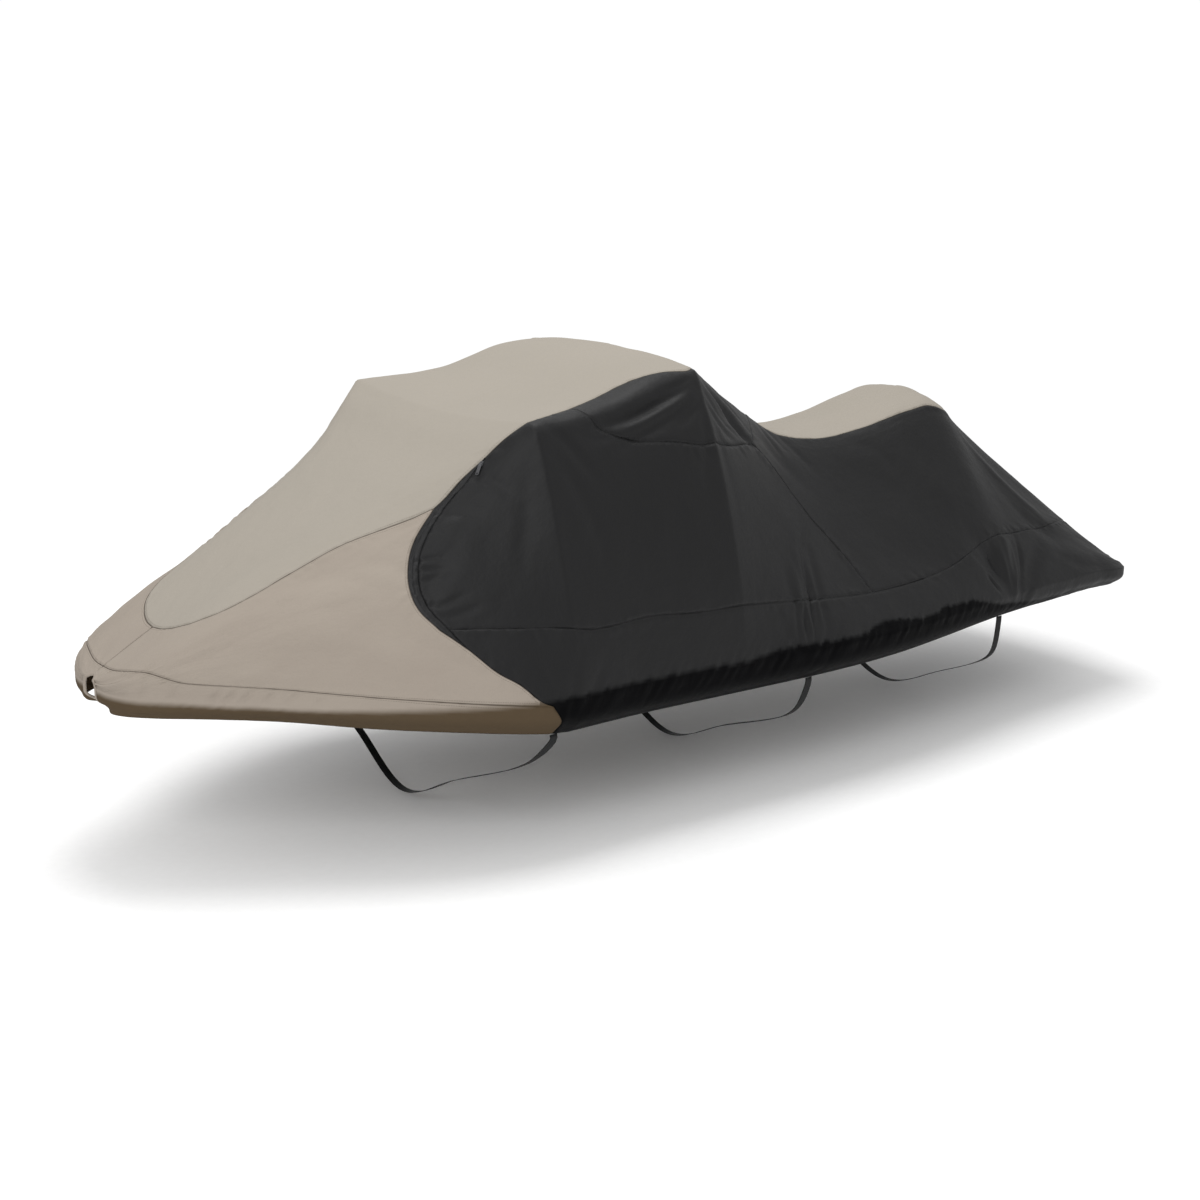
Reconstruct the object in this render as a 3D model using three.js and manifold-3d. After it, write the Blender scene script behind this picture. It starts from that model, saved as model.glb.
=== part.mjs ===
import * as THREE from "three";
import { mergeVertices } from "three/addons/utils/BufferGeometryUtils.js";
import Module from "manifold-3d";

// Personal watercraft cover, in millimetres, +Z up, nose towards -X, port side towards -Y.
// Lengths are counted from the nose and heights from the hem at the stern. The origin is moved at the end
// to the place under the top, between the rear pair of tent points.
const CLOTH = 2; // coated polyester with its double hems and seams
const INSET = 0.3; // how far each panel's edge stays back from its seam
const HELD_AT = { along: 1560, up: 848 };

const TAUPE = "#b3aa9e";
const BLACK = "#2a2a2b";
const WEBBING = "#0e0e0f";

// One row for each section across the cover. at: distance from the nose. hem and rail: heights of the
// turned-under edge and of the turn over the rail. beam: half width at the rail. shoulder and height:
// half width and height of the upper corner. top: height on the centreline. bulge: how far the side
// swells. tuck: how far the hem is drawn in. ease: how softly the shoulder turns.
const COLUMNS = ["at", "hem", "beam", "rail", "shoulder", "height", "top", "bulge", "tuck", "ease"];
const SECTIONS = [
  [0, 92, 0, 150, 0, 165, 168, 0, 55, 0.2],
  [8, 92, 100, 150, 75, 170, 172, 0, 55, 0.2],
  [35, 92, 165, 153, 130, 195, 190, 6, 55, 0.3],
  [90, 90, 215, 155, 168, 234, 222, 14, 55, 0.4],
  [175, 86, 268, 153, 195, 288, 270, 24, 56, 0.5],
  [350, 71, 365, 148, 230, 391, 373, 28, 60, 0.6],
  [540, 48, 485, 135, 276, 483, 479, 24, 62, 0.55],
  [740, 26, 580, 120, 332, 579, 578, 18, 60, 0.38],
  [880, 7, 622, 106, 378, 659, 650, 16, 60, 0.2],
  [945, -2, 632, 98, 405, 711, 690, 15, 60, 0.12],
  [1005, -7, 636, 92, 433, 753, 722, 20, 60, 0.05],
  [1260, -9, 620, 82, 400, 777, 778, 30, 60, 0.12],
  [1440, -12, 615, 79, 385, 822, 836, 36, 60, 0.1],
  [1560, -14, 612, 78, 376, 831, 856, 40, 60, 0.06],
  [1720, -15, 612, 78, 310, 742, 769, 20, 60, 0.2],
  [1880, -15, 612, 78, 240, 658, 674, 10, 60, 0.25],
  [2040, -15, 605, 78, 178, 584, 590, 0, 60, 0.2],
  [2210, -13, 590, 78, 168, 548, 553, 0, 60, 0.16],
  [2410, -8, 560, 78, 163, 560, 570, 10, 60, 0.16],
  [2580, -3, 530, 78, 158, 602, 619, 20, 60, 0.16],
  [2700, 0, 510, 78, 155, 608, 634, 20, 60, 0.14],
  [2790, 0, 495, 78, 160, 530, 549, 20, 60, 0.12],
  [2960, 0, 475, 78, 205, 382, 392, 20, 60, 0.12],
  [3160, 0, 450, 75, 265, 214, 220, 15, 60, 0.12],
  [3300, 0, 425, 60, 320, 94, 98, 6, 50, 0.2],
  [3350, 0, 370, 52, 300, 72, 76, 4, 40, 0.3],
  [3370, 0, 200, 48, 170, 66, 69, 0, 40, 0.3],
  [3372, 0, 0, 48, 0, 64, 67, 0, 40, 0.3],
].map((row) => Object.fromEntries(COLUMNS.map((column, i) => [column, row[i]])));
const PEAKS = [1005, 1560]; // sections through the tent points, where the cloth turns sharply

// Places where seams meet on the port side. at: distance from the nose. level: place across the
// cloth, where 0 is the hem edge, 1 the turn over the rail, 2 the shoulder and 3 the centreline. The
// starboard side is its mirror image, but there the hood reaches a little lower, to the level low.
const STERN = 3372;
const MEETINGS = {
  nose_hem: { at: 0, level: 0 },
  nose_top: { at: 0, level: 3 },
  prow: { at: 36, level: 3 },
  hood_tip: { at: 169, level: 3 },
  front_hem: { at: 956, level: 0 },
  front_skirt: { at: 924, level: 0.88 },
  zip_foot: { at: 738, level: 1.255 },
  front_lower: { at: 689, level: 1.359 },
  zip_lower: { at: 709, level: 1.355 },
  front_hood: { at: 767, level: 1.979, low: 1.95 },
  zip_head: { at: 903, level: 2.053, low: 1.94 },
  front_upper: { at: 1160, level: 2.118, low: 1.94 },
  front_centre: { at: 1612, level: 3 },
  side_peak: { at: 1806, level: 1.845 },
  seat_front: { at: 1930, level: 3 },
  seat_corner: { at: 1952, level: 2.42 },
  seat_back: { at: 2760, level: 3 },
  quarter_foot: { at: 2105, level: 1.2 },
  tail_top: { at: 3220, level: 3 },
  stern_top: { at: STERN, level: 3 },
  stern_hem: { at: STERN, level: 0 },
};

// Seams from one meeting to another. by: the places between, each as distance from the nose, level and,
// where it differs, the starboard level. steps: how many straight lengths the seam is made of, where it
// isn't set by its own length.
const SEAMS = {
  nose: { from: "nose_hem", to: "nose_top", by: [], steps: 5 },
  prow: { from: "nose_top", to: "prow", by: [] },
  deck: { from: "prow", to: "hood_tip", by: [] },
  skirt: {
    from: "prow",
    to: "front_skirt",
    by: [
      [38, 2.6], [54, 2.1], [97, 1.48], [140, 1.25], [229, 1.13], [369, 1.05], [506, 1.02],
      [650, 1], [760, 0.94],
    ],
  },
  hood: {
    from: "hood_tip",
    to: "front_hood",
    by: [
      [174, 2.78], [190, 2.55], [219, 2.34], [273, 2.18], [333, 2.13], [404, 2.135], [473, 2.132],
      [547, 2.12], [633, 2.063],
    ],
  },
  front_edge_foot: { from: "front_hem", to: "front_skirt", by: [[950, 0.5]] },
  front_edge_low: { from: "front_skirt", to: "zip_foot", by: [[891, 1.0], [846, 1.07], [797, 1.13]] },
  front_edge_lower: { from: "zip_foot", to: "front_lower", by: [] },
  front_edge_side: {
    from: "front_lower",
    to: "front_hood",
    by: [[658, 1.475], [651, 1.6], [668, 1.744], [701, 1.86]],
  },
  front_edge_zip: { from: "front_hood", to: "zip_head", by: [[846, 2.039, 1.94]] },
  front_edge_high: {
    from: "zip_head",
    to: "front_upper",
    by: [[960, 2.065, 1.94], [1030, 2.08, 1.94]],
  },
  front_edge_top: {
    from: "front_upper",
    to: "front_centre",
    by: [
      [1240, 2.15, 1.94], [1340, 2.16, 1.94], [1463, 2.09, 1.94], [1549, 2.03, 1.97],
      [1592, 2.14, 2.12], [1606, 2.5],
    ],
  },
  zip_low: { from: "zip_foot", to: "zip_lower", by: [] },
  zip_high: {
    from: "zip_lower",
    to: "zip_head",
    by: [[680, 1.475], [674, 1.6], [691, 1.732], [726, 1.842], [785, 1.942], [852, 2.008]],
  },
  lower_lap: { from: "front_lower", to: "zip_lower", by: [] },
  lower: {
    from: "zip_lower",
    to: "quarter_foot",
    by: [[809, 1.324], [942, 1.28], [1066, 1.24], [1259, 1.24], [1422, 1.21], [1796, 1.2]],
  },
  lower_rear: {
    from: "quarter_foot",
    to: "tail_top",
    by: [[2457, 1.22], [2620, 1.27], [2823, 1.34], [2990, 1.48], [3110, 1.72], [3190, 2.1], [3215, 2.6]],
  },
  upper: {
    from: "front_upper",
    to: "side_peak",
    by: [
      [1176, 2.0, 1.905], [1210, 1.92, 1.87], [1322, 1.83, 1.82], [1424, 1.782], [1530, 1.748],
      [1642, 1.765],
    ],
  },
  cross: { from: "side_peak", to: "seat_corner", by: [[1848, 1.98], [1905, 2.23]] },
  quarter: {
    from: "side_peak",
    to: "quarter_foot",
    by: [[1859, 1.8], [1904, 1.73], [1983, 1.58], [2060, 1.4]],
  },
  seat_end: { from: "seat_front", to: "seat_corner", by: [[1934, 2.68]] },
  seat_side: {
    from: "seat_corner",
    to: "seat_back",
    by: [
      [1975, 2.21, 2.18], [2020, 2.1, 2.05], [2090, 2.085, 1.98], [2228, 2.1, 1.95], [2348, 2.12, 1.95],
      [2412, 2.11, 1.95], [2520, 2.06, 1.95], [2640, 2.02, 1.96], [2700, 1.99, 1.99], [2732, 2.03],
      [2748, 2.3], [2756, 2.6],
    ],
  },
  tail: { from: "tail_top", to: "stern_top", by: [] },
  stern: { from: "stern_top", to: "stern_hem", by: [], steps: 4 },
  hem_front: { from: "nose_hem", to: "front_hem", by: [] },
  hem_rear: { from: "front_hem", to: "stern_hem", by: [] },
};

// Panels on the port side by the seams round them, where a minus means that the seam is followed
// backwards. Those with mirrored set are cut for both sides, and those with across set are one piece
// over the centreline, of which only the port half of the outline is given.
const PANELS = [
  {
    name: "bow_skirt",
    cloth: "taupe",
    mirrored: true,
    round: "hem_front front_edge_foot -skirt -prow -nose",
  },
  {
    name: "bow_side",
    cloth: "taupe",
    mirrored: true,
    round: "skirt front_edge_low front_edge_lower front_edge_side -hood -deck",
  },
  {
    name: "hood_top",
    cloth: "taupe",
    across: true,
    round: "hood front_edge_zip front_edge_high front_edge_top",
  },
  {
    name: "zip_tape_port",
    cloth: "zip",
    round: "zip_low zip_high -front_edge_zip -front_edge_side -front_edge_lower",
  },
  {
    name: "side_lower_port",
    cloth: "black",
    round:
      "hem_rear -stern -tail -lower_rear -lower -zip_low -front_edge_low -front_edge_foot",
  },
  {
    name: "side_lower_starboard",
    cloth: "black",
    starboard: true,
    round:
      "hem_rear -stern -tail -lower_rear -lower -lower_lap -front_edge_lower -front_edge_low " +
      "-front_edge_foot",
  },
  {
    name: "side_upper_port",
    cloth: "black",
    round: "lower -quarter -upper -front_edge_high -zip_high",
  },
  {
    name: "side_upper_starboard",
    cloth: "black",
    starboard: true,
    round: "lower_lap lower -quarter -upper -front_edge_high -front_edge_zip -front_edge_side",
  },
  {
    name: "cross_band",
    cloth: "black",
    across: true,
    round: "-front_edge_top upper cross -seat_end",
  },
  {
    name: "seat_top",
    cloth: "taupe",
    across: true,
    round: "seat_end seat_side",
  },
  {
    name: "rear_quarters",
    cloth: "black",
    across: true,
    round: "-seat_side -cross quarter lower_rear",
  },
];

// Main folds. from, by and to are places on the port side, and a fold with side 1 is on the starboard
// side. deep: how far the cloth dips, below zero where it stands up. wide: half width of the dip.
const FOLDS = [
  { side: -1, from: [1203, 1.92], by: [1340, 1.94], to: [1540, 1.96], deep: 13, wide: 26 },
  { side: -1, from: [1160, 1.99], by: [1250, 1.995], to: [1360, 2.0], deep: 6, wide: 20 },
  { side: -1, from: [1230, 1.83], by: [1370, 1.86], to: [1535, 1.9], deep: -7, wide: 30 },
  { side: -1, from: [1600, 1.97], by: [1700, 1.95], to: [1800, 1.9], deep: 14, wide: 26 },
  { side: -1, from: [1640, 1.88], by: [1720, 1.85], to: [1815, 1.84], deep: 9, wide: 24 },
  { side: -1, from: [1880, 1.95], by: [1960, 1.85], to: [2040, 1.72], deep: 8, wide: 34 },
  { side: -1, from: [1978, 1.55], by: [1880, 1.35], to: [1835, 0.9], deep: 9, wide: 34 },
  { side: -1, from: [1880, 1.5], by: [1820, 1.3], to: [1815, 0.9], deep: -6, wide: 30 },
  { side: -1, from: [2597, 1.3], by: [2657, 1.14], to: [2698, 0.8], deep: 12, wide: 32 },
  { side: -1, from: [2735, 1.32], by: [2700, 1.12], to: [2698, 0.8], deep: -8, wide: 26 },
  { side: -1, from: [2900, 1.25], by: [2800, 1.08], to: [2710, 0.8], deep: 8, wide: 28 },
  { side: -1, from: [3150, 1.35], by: [3000, 1.42], to: [2860, 1.48], deep: 7, wide: 32 },
  { side: -1, from: [330, 2.08], by: [470, 1.98], to: [600, 1.88], deep: 7, wide: 36 },
  { side: -1, from: [660, 1.5], by: [700, 1.6], to: [770, 1.7], deep: 7, wide: 30 },
  { side: 1, from: [1190, 1.93], by: [1330, 1.92], to: [1530, 1.96], deep: 12, wide: 30 },
  { side: 1, from: [1605, 1.97], by: [1705, 1.94], to: [1810, 1.88], deep: 13, wide: 28 },
  { side: 1, from: [1985, 1.55], by: [1870, 1.3], to: [1828, 0.9], deep: 9, wide: 34 },
  { side: 1, from: [2610, 1.32], by: [2665, 1.12], to: [2700, 0.8], deep: 11, wide: 32 },
  { side: 1, from: [2890, 1.3], by: [2790, 1.1], to: [2705, 0.8], deep: 8, wide: 30 },
  { side: 1, from: [320, 2.06], by: [450, 1.97], to: [590, 1.86], deep: 6, wide: 38 },
];

// Tie-down webbing. at: where it leaves the hem. hang: how far below the hem's edge it starts. side,
// turn, run and low: the points it passes on its way round below, as along, out from the middle and up.
const STRAP = { wide: 22, thick: 2, straight: 14, steps: 30 };
const STRAPS = [
  {
    name: "strap_front",
    at: 962,
    hang: 1.4,
    side: [925, 556, -62],
    turn: [912, 500, -100],
    run: [890, 250, -202],
    low: [878, 0, -300],
  },
  {
    name: "strap_middle",
    at: 1835,
    hang: 0.45,
    side: [1812, 546, -88],
    turn: [1808, 505, -128],
    run: [1800, 250, -226],
    low: [1796, 0, -316],
  },
  {
    name: "strap_rear",
    at: 2700,
    hang: 0.6,
    side: [2692, 442, -104],
    turn: [2690, 415, -138],
    run: [2688, 235, -222],
    low: [2686, 0, -306],
  },
];

// The zip's pull hangs back from the upper end of the zip, this far off the cloth.
const PULL = { long: 34, wide: 9, thick: 3, lift: 0.6, back: 12, level: 0.02, down: 4 };

// The arched notch at the nose, with half its width and the height of its centre, and its binding.
const NOTCH = { half: 33, up: 143, ahead: 30, deep: 90 };
const BINDING = {
  gap: 0.8,
  wide: 5,
  thick: 4.6,
  levels: [0, 0.3, 0.6, 0.9, 1.1, 1.3, 1.5, 1.7, 1.9, 2.1, 2.3, 2.5, 2.7, 2.85, 3],
};

// Spacing of the points that carry the cloth's shape: along the seams, and inside a panel the steps
// from nose to stern and the levels across, which crowd at the shoulder.
const SEAM_STEP = 44;
const ALONG = 70;
const CLEAR = 15; // from a seam to the nearest point inside
const LEVELS = [
  0.25, 0.5, 0.75, 1, 1.08, 1.17, 1.27, 1.38, 1.5, 1.6, 1.69, 1.77, 1.84, 1.9, 1.95, 2, 2.05, 2.12,
  2.22, 2.36, 2.56, 2.78,
];

// Width of the cloth up to each whole level amidships, on which the panels are drawn flat.
const FLAT_WIDTHS = [0, 100, 740, 1120];

const wasm = await Module();
wasm.setup();

// The sections as smooth curves along the cover.

const LAST = SECTIONS.length - 1;

// The run counts travel along the outline seen from above, so that the nose and stern come out round.
const SHORTEST_RUN = 20;
const RUN = [0];
for (let i = 1; i <= LAST; i += 1) {
  const [before, row] = [SECTIONS[i - 1], SECTIONS[i]];
  const travel = Math.hypot(row.at - before.at, row.beam - before.beam);
  RUN.push(RUN[i - 1] + Math.max(SHORTEST_RUN, travel));
}

// Slopes of a column before and after a row. At both ends the outline crosses the centreline squarely.
function slopes(column, i) {
  const slope = (k) => (SECTIONS[k + 1][column] - SECTIONS[k][column]) / (RUN[k + 1] - RUN[k]);
  if (i === 0 || i === LAST) {
    const width = column === "beam" || column === "shoulder";
    const end = width ? slope(i === 0 ? 0 : LAST - 1) : 0;
    return [end, end];
  }
  if (PEAKS.includes(SECTIONS[i].at)) return [slope(i - 1), slope(i)];
  const before = RUN[i] - RUN[i - 1];
  const after = RUN[i + 1] - RUN[i];
  const mean = (slope(i) * before + slope(i - 1) * after) / (before + after);
  return [mean, mean];
}
const SLOPES = Object.fromEntries(COLUMNS.map((c) => [c, SECTIONS.map((row, i) => slopes(c, i))]));

function sectionAt(run) {
  const t = Math.min(Math.max(run, 0), RUN[LAST]);
  let i = 0;
  while (i < LAST - 1 && RUN[i + 1] <= t) i += 1;
  const span = RUN[i + 1] - RUN[i];
  const u = (t - RUN[i]) / span;
  const blend = (column) =>
    (2 * u ** 3 - 3 * u ** 2 + 1) * SECTIONS[i][column] +
    (u ** 3 - 2 * u ** 2 + u) * span * SLOPES[column][i][1] +
    (3 * u ** 2 - 2 * u ** 3) * SECTIONS[i + 1][column] +
    (u ** 3 - u ** 2) * span * SLOPES[column][i + 1][0];
  return Object.fromEntries(COLUMNS.map((column) => [column, blend(column)]));
}

// The last value up to high for which a test holds, by halving.
const HALVINGS = 40;
function lastWhere(test, high) {
  let [low, top] = [0, high];
  for (let k = 0; k < HALVINGS; k += 1) {
    const middle = (low + top) / 2;
    if (test(middle)) low = middle;
    else top = middle;
  }
  return low;
}

// The run at a distance from the nose.
function runOf(at) {
  if (at >= SECTIONS[LAST].at) return RUN[LAST];
  return lastWhere((run) => sectionAt(run).at < at, RUN[LAST]);
}

// Across the cloth.

const bow = (a, b, c, t) => (1 - t) ** 2 * a + 2 * t * (1 - t) * b + t * t * c;
const clamp01 = (value) => Math.min(Math.max(value, 0), 1);

// Below the rail the cloth hangs down to a turn, at this level and this share of the height, and from
// there runs in under the rail to the hem. Near the nose and stern, up to this half width, it runs in
// lengthways instead of sideways.
const UNDER = { level: 0.5, share: 0.45, ease: 0.2 };
const CLOSED_BEAM = 150;

// A point before the shoulder is eased. Levels over 3 run down the starboard side.
function sharpPoint(s, level) {
  const side = level > 3 ? 1 : -1;
  const l = level > 3 ? 6 - level : level;
  const beam = Math.max(s.beam, 0);
  const open = THREE.MathUtils.smoothstep(beam, 0, CLOSED_BEAM);
  if (l <= 1) {
    const under = s.tuck * Math.max(1 - l / UNDER.level, 0);
    const share = l < UNDER.level
      ? (UNDER.share * l) / UNDER.level
      : 1 - ((1 - UNDER.share) * (1 - l)) / (1 - UNDER.level);
    const lengthways = (s.at < STERN / 2 ? 1 : -1) * (1 - open) * under;
    const z = s.hem + share * (s.rail - s.hem);
    return new THREE.Vector3(s.at + lengthways, side * (beam - open * under), z);
  }
  if (l <= 2) {
    const rise = s.height - s.rail;
    const narrowing = beam - s.shoulder;
    const length = Math.hypot(rise, narrowing) || 1;
    const out = (beam + s.shoulder) / 2 + (2 * s.bulge * rise) / length;
    const up = (s.rail + s.height) / 2 + (2 * s.bulge * narrowing) / length;
    const y = bow(beam, out, s.shoulder, l - 1);
    return new THREE.Vector3(s.at, side * y, bow(s.rail, up, s.height, l - 1));
  }
  const out = 3 - l;
  return new THREE.Vector3(s.at, side * s.shoulder * out, s.top + (s.height - s.top) * out ** 2);
}

const EASE_STEPS = [
  { shift: -0.9, share: 0.1 },
  { shift: -0.54, share: 0.2 },
  { shift: -0.18, share: 0.2 },
  { shift: 0.18, share: 0.2 },
  { shift: 0.54, share: 0.2 },
  { shift: 0.9, share: 0.1 },
];

// A point of the cloth, eased over the shoulder and over the turn below the rail, but not at the rail.
function clothPoint(run, level) {
  const s = sectionAt(run);
  const l = level > 3 ? 6 - level : level;
  const reach = l < 1 ? Math.min(UNDER.ease, l, 1 - l) : Math.min(s.ease, 0.9 * (l - 1));
  const p = new THREE.Vector3();
  for (const { shift, share } of EASE_STEPS) {
    p.addScaledVector(sharpPoint(s, level + shift * reach), share);
  }
  return p;
}

// The direction outwards of a surface given by run and level.
const NEAR = { run: 5, level: 0.02 };
function outwards(surface, run, level) {
  const ahead = surface(Math.min(run + NEAR.run, RUN[LAST]), level);
  const behind = surface(Math.max(run - NEAR.run, 0), level);
  const above = surface(run, Math.min(level + NEAR.level, 6));
  const below = surface(run, Math.max(level - NEAR.level, 0));
  return ahead.sub(behind).cross(above.sub(below)).normalize();
}

// The folds, pressed in.

const onSide = (side, level) => (side > 0 ? 6 - level : level);

const FOLD_LINES = FOLDS.map((fold) => {
  const points = [fold.from, fold.by, fold.to].map(([at, level]) =>
    clothPoint(runOf(at), onSide(fold.side, level)),
  );
  return { ...fold, line: new THREE.CatmullRomCurve3(points).getPoints(14) };
});

// How far the cloth is pressed in at a point: full along a fold's middle, fading at its ends and sides.
function foldDepth(p) {
  let depth = 0;
  for (const { line, deep, wide } of FOLD_LINES) {
    let nearest = Infinity;
    let place = 0;
    for (let k = 0; k < line.length - 1; k += 1) {
      const part = new THREE.Line3(line[k], line[k + 1]);
      const t = part.closestPointToPointParameter(p, true);
      const gap = part.at(t, new THREE.Vector3()).distanceTo(p);
      if (gap < nearest) {
        nearest = gap;
        place = (k + t) / (line.length - 1);
      }
    }
    depth += deep * Math.exp(-((nearest / wide) ** 2)) * Math.sin(Math.PI * (0.08 + 0.84 * place));
  }
  return depth;
}

// A point of the cloth with its folds.
function foldedPoint(run, level) {
  const p = clothPoint(run, level);
  return p.addScaledVector(outwards(clothPoint, run, level), -foldDepth(p));
}

// The direction outwards. At the nose and stern the cloth runs straight across the centreline.
const END_REACH = { run: 1, level: 0.3 };
function foldedNormal(run, level) {
  const atNose = run < END_REACH.run;
  if (!atNose && run <= RUN[LAST] - END_REACH.run) return outwards(foldedPoint, run, level);
  const l = Math.min(level, 6 - level);
  const above = foldedPoint(run, Math.min(l + END_REACH.level, 3));
  const below = foldedPoint(run, Math.max(l - END_REACH.level, 0));
  return new THREE.Vector3(0, atNose ? -1 : 1, 0).cross(above.sub(below)).normalize();
}

// Seams and panels on the flat.

// Port levels are widths from the hem, and the starboard side runs on over the centreline.
function toFlat(level) {
  if (level > 3) return 2 * FLAT_WIDTHS[3] - toFlat(6 - level);
  const k = Math.min(Math.floor(level), 2);
  return FLAT_WIDTHS[k] + (level - k) * (FLAT_WIDTHS[k + 1] - FLAT_WIDTHS[k]);
}

function fromFlat(width) {
  if (width > FLAT_WIDTHS[3]) return 6 - fromFlat(2 * FLAT_WIDTHS[3] - width);
  const k = [2, 1, 0].find((whole) => width >= FLAT_WIDTHS[whole]) ?? 0;
  return k + (width - FLAT_WIDTHS[k]) / (FLAT_WIDTHS[k + 1] - FLAT_WIDTHS[k]);
}

// The points of a seam, which the panels on both sides of it share.
function seamPoints({ from, to, by, steps }, starboard) {
  const ends = [MEETINGS[from], MEETINGS[to]].map(({ at, level, low }) => [at, level, low]);
  const knots = [ends[0], ...by, ends[1]].map(([at, level, low = level]) => {
    const width = starboard ? 2 * FLAT_WIDTHS[3] - toFlat(low) : toFlat(level);
    return new THREE.Vector3(runOf(at), width, 0);
  });
  const curve = new THREE.CatmullRomCurve3(knots, false, "centripetal");
  const count = steps ?? Math.max(1, Math.round(curve.getLength() / SEAM_STEP));
  return curve.getSpacedPoints(count).map((p) => new THREE.Vector2(p.x, p.y));
}
const PORT_SEAMS = Object.fromEntries(
  Object.entries(SEAMS).map(([name, seam]) => [name, seamPoints(seam, false)]),
);
const STARBOARD_SEAMS = Object.fromEntries(
  Object.entries(SEAMS).map(([name, seam]) => [name, seamPoints(seam, true)]),
);

// The points along the seams of a round, from its first to its last.
function seamsRound(round, seams) {
  const sides = round.split(" ").map((word) => {
    const seam = seams[word.replace("-", "")];
    return word.startsWith("-") ? [...seam].reverse() : seam;
  });
  return [...sides.flatMap((side) => side.slice(0, -1)), sides.at(-1).at(-1)];
}

// The outline of a panel, anticlockwise. One that lies across both sides goes out along the port seams
// and comes back along the starboard ones.
function panelOutline({ round, across, starboard }) {
  const points = seamsRound(round, starboard ? STARBOARD_SEAMS : PORT_SEAMS);
  const back = across ? seamsRound(round, STARBOARD_SEAMS).reverse().slice(1) : [];
  const outline = [...points, ...back].slice(0, -1);
  return THREE.ShapeUtils.area(outline) < 0 ? outline.reverse() : outline;
}

// Points inside an outline, clear of its edge: one row along each tent point, and staggered rows with
// a little unevenness elsewhere, which crowd towards the nose and stern.
const CROWD = 0.3 / (2 * Math.PI);
function pointsInside(outline) {
  const peaks = RUN.filter((_, i) => PEAKS.includes(SECTIONS[i].at));
  const levels = [...LEVELS, 3, ...LEVELS.map((level) => 6 - level)];
  const places = levels.flatMap((level, j) => {
    const row = peaks.map((run) => new THREE.Vector2(run, toFlat(level)));
    for (let i = 0; i < ALONG; i += 1) {
      const share = (i + 0.5 + 0.5 * (j % 2)) / ALONG;
      const crowded = share - CROWD * Math.sin(2 * Math.PI * share);
      const run = RUN[LAST] * crowded + 2 * Math.sin(5 * i + 3 * j);
      if (peaks.some((peak) => Math.abs(run - peak) < CLEAR)) continue;
      row.push(new THREE.Vector2(run, toFlat(level) + Math.cos(4 * i + j)));
    }
    return row;
  });
  const clear = (p) =>
    outline.every((a, k) => edgeGap(p, a, outline[(k + 1) % outline.length]) > CLEAR);
  const inside = places.filter((p) => isInside(p, outline) && clear(p));
  const taken = outline.map((p) => clothPoint(p.x, fromFlat(p.y)));
  return inside.filter((p) => {
    const here = clothPoint(p.x, fromFlat(p.y));
    if (taken.some((other) => other.distanceTo(here) < CLEAR)) return false;
    return taken.push(here);
  });
}

function isInside(p, outline) {
  let inside = false;
  outline.forEach((a, k) => {
    const b = outline[(k + 1) % outline.length];
    if (a.y > p.y === b.y > p.y) return;
    if (p.x < ((b.x - a.x) * (p.y - a.y)) / (b.y - a.y) + a.x) inside = !inside;
  });
  return inside;
}

function edgeGap(p, a, b) {
  const along = b.clone().sub(a);
  const t = clamp01(p.clone().sub(a).dot(along) / along.lengthSq());
  return p.distanceTo(a.clone().addScaledVector(along, t));
}

const turn = (a, b, c) => (b.x - a.x) * (c.y - a.y) - (b.y - a.y) * (c.x - a.x);

// Whether d lies inside the circle through a, b and c, which turn anticlockwise.
function inCircle(a, b, c, d) {
  const [p, q, r] = [a, b, c].map((corner) => corner.clone().sub(d));
  const sum =
    p.lengthSq() * (q.x * r.y - q.y * r.x) -
    q.lengthSq() * (p.x * r.y - p.y * r.x) +
    r.lengthSq() * (p.x * q.y - p.y * q.x);
  return sum > 1;
}

// Faces over an outline and the points inside it. The outline is filled first, then each point is set
// in and edges are turned until every face is as even as it can be.
function facesOver(outline, inside) {
  const points = [...outline, ...inside];
  const faces = THREE.ShapeUtils.triangulateShape(outline, []).map((face) => [...face]);
  const owner = new Map();
  const key = (a, b) => a * points.length + b;
  const sides = ([a, b, c]) => [[a, b], [b, c], [c, a]];
  const link = (f) => sides(faces[f]).forEach(([a, b]) => owner.set(key(a, b), f));
  const even = (stack) => {
    while (stack.length) {
      const [a, b] = stack.pop();
      const [f, g] = [owner.get(key(a, b)), owner.get(key(b, a))];
      if (f === undefined || g === undefined) continue;
      const c = faces[f].find((v) => v !== a && v !== b);
      const d = faces[g].find((v) => v !== a && v !== b);
      const [pa, pb, pc, pd] = [a, b, c, d].map((v) => points[v]);
      if (!inCircle(pa, pb, pc, pd) || turn(pc, pa, pd) <= 0 || turn(pd, pb, pc) <= 0) continue;
      owner.delete(key(a, b));
      owner.delete(key(b, a));
      faces[f] = [c, a, d];
      faces[g] = [d, b, c];
      link(f);
      link(g);
      stack.push([c, a], [a, d], [d, b], [b, c]);
    }
  };
  faces.forEach((_, f) => link(f));
  even(faces.flatMap(sides));
  inside.forEach((p, k) => {
    const v = outline.length + k;
    const holds = (face) => sides(face).every(([a, b]) => turn(points[a], points[b], p) > 0);
    const f = faces.findIndex(holds);
    if (f < 0) return;
    const [a, b, c] = faces[f];
    faces[f] = [a, b, v];
    faces.push([b, c, v], [c, a, v]);
    [f, faces.length - 2, faces.length - 1].forEach(link);
    even([[a, b], [b, c], [c, a]]);
  });
  return { points, faces };
}

// Panels as cloth.

// The shift that moves a corner of an outline inwards along the cloth, so that its edges stay
// parallel. It is kept short at the sharpest corners.
const LEAST_SHARE = 0.35;
function insetShift(before, here, after, out, inset) {
  const [first, second] = [here.clone().sub(before), after.clone().sub(here)].map((edge) =>
    out.clone().cross(edge).normalize(),
  );
  const middle = first.clone().add(second).normalize();
  return middle.multiplyScalar(inset / Math.max(middle.dot(first), LEAST_SHARE));
}

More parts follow.
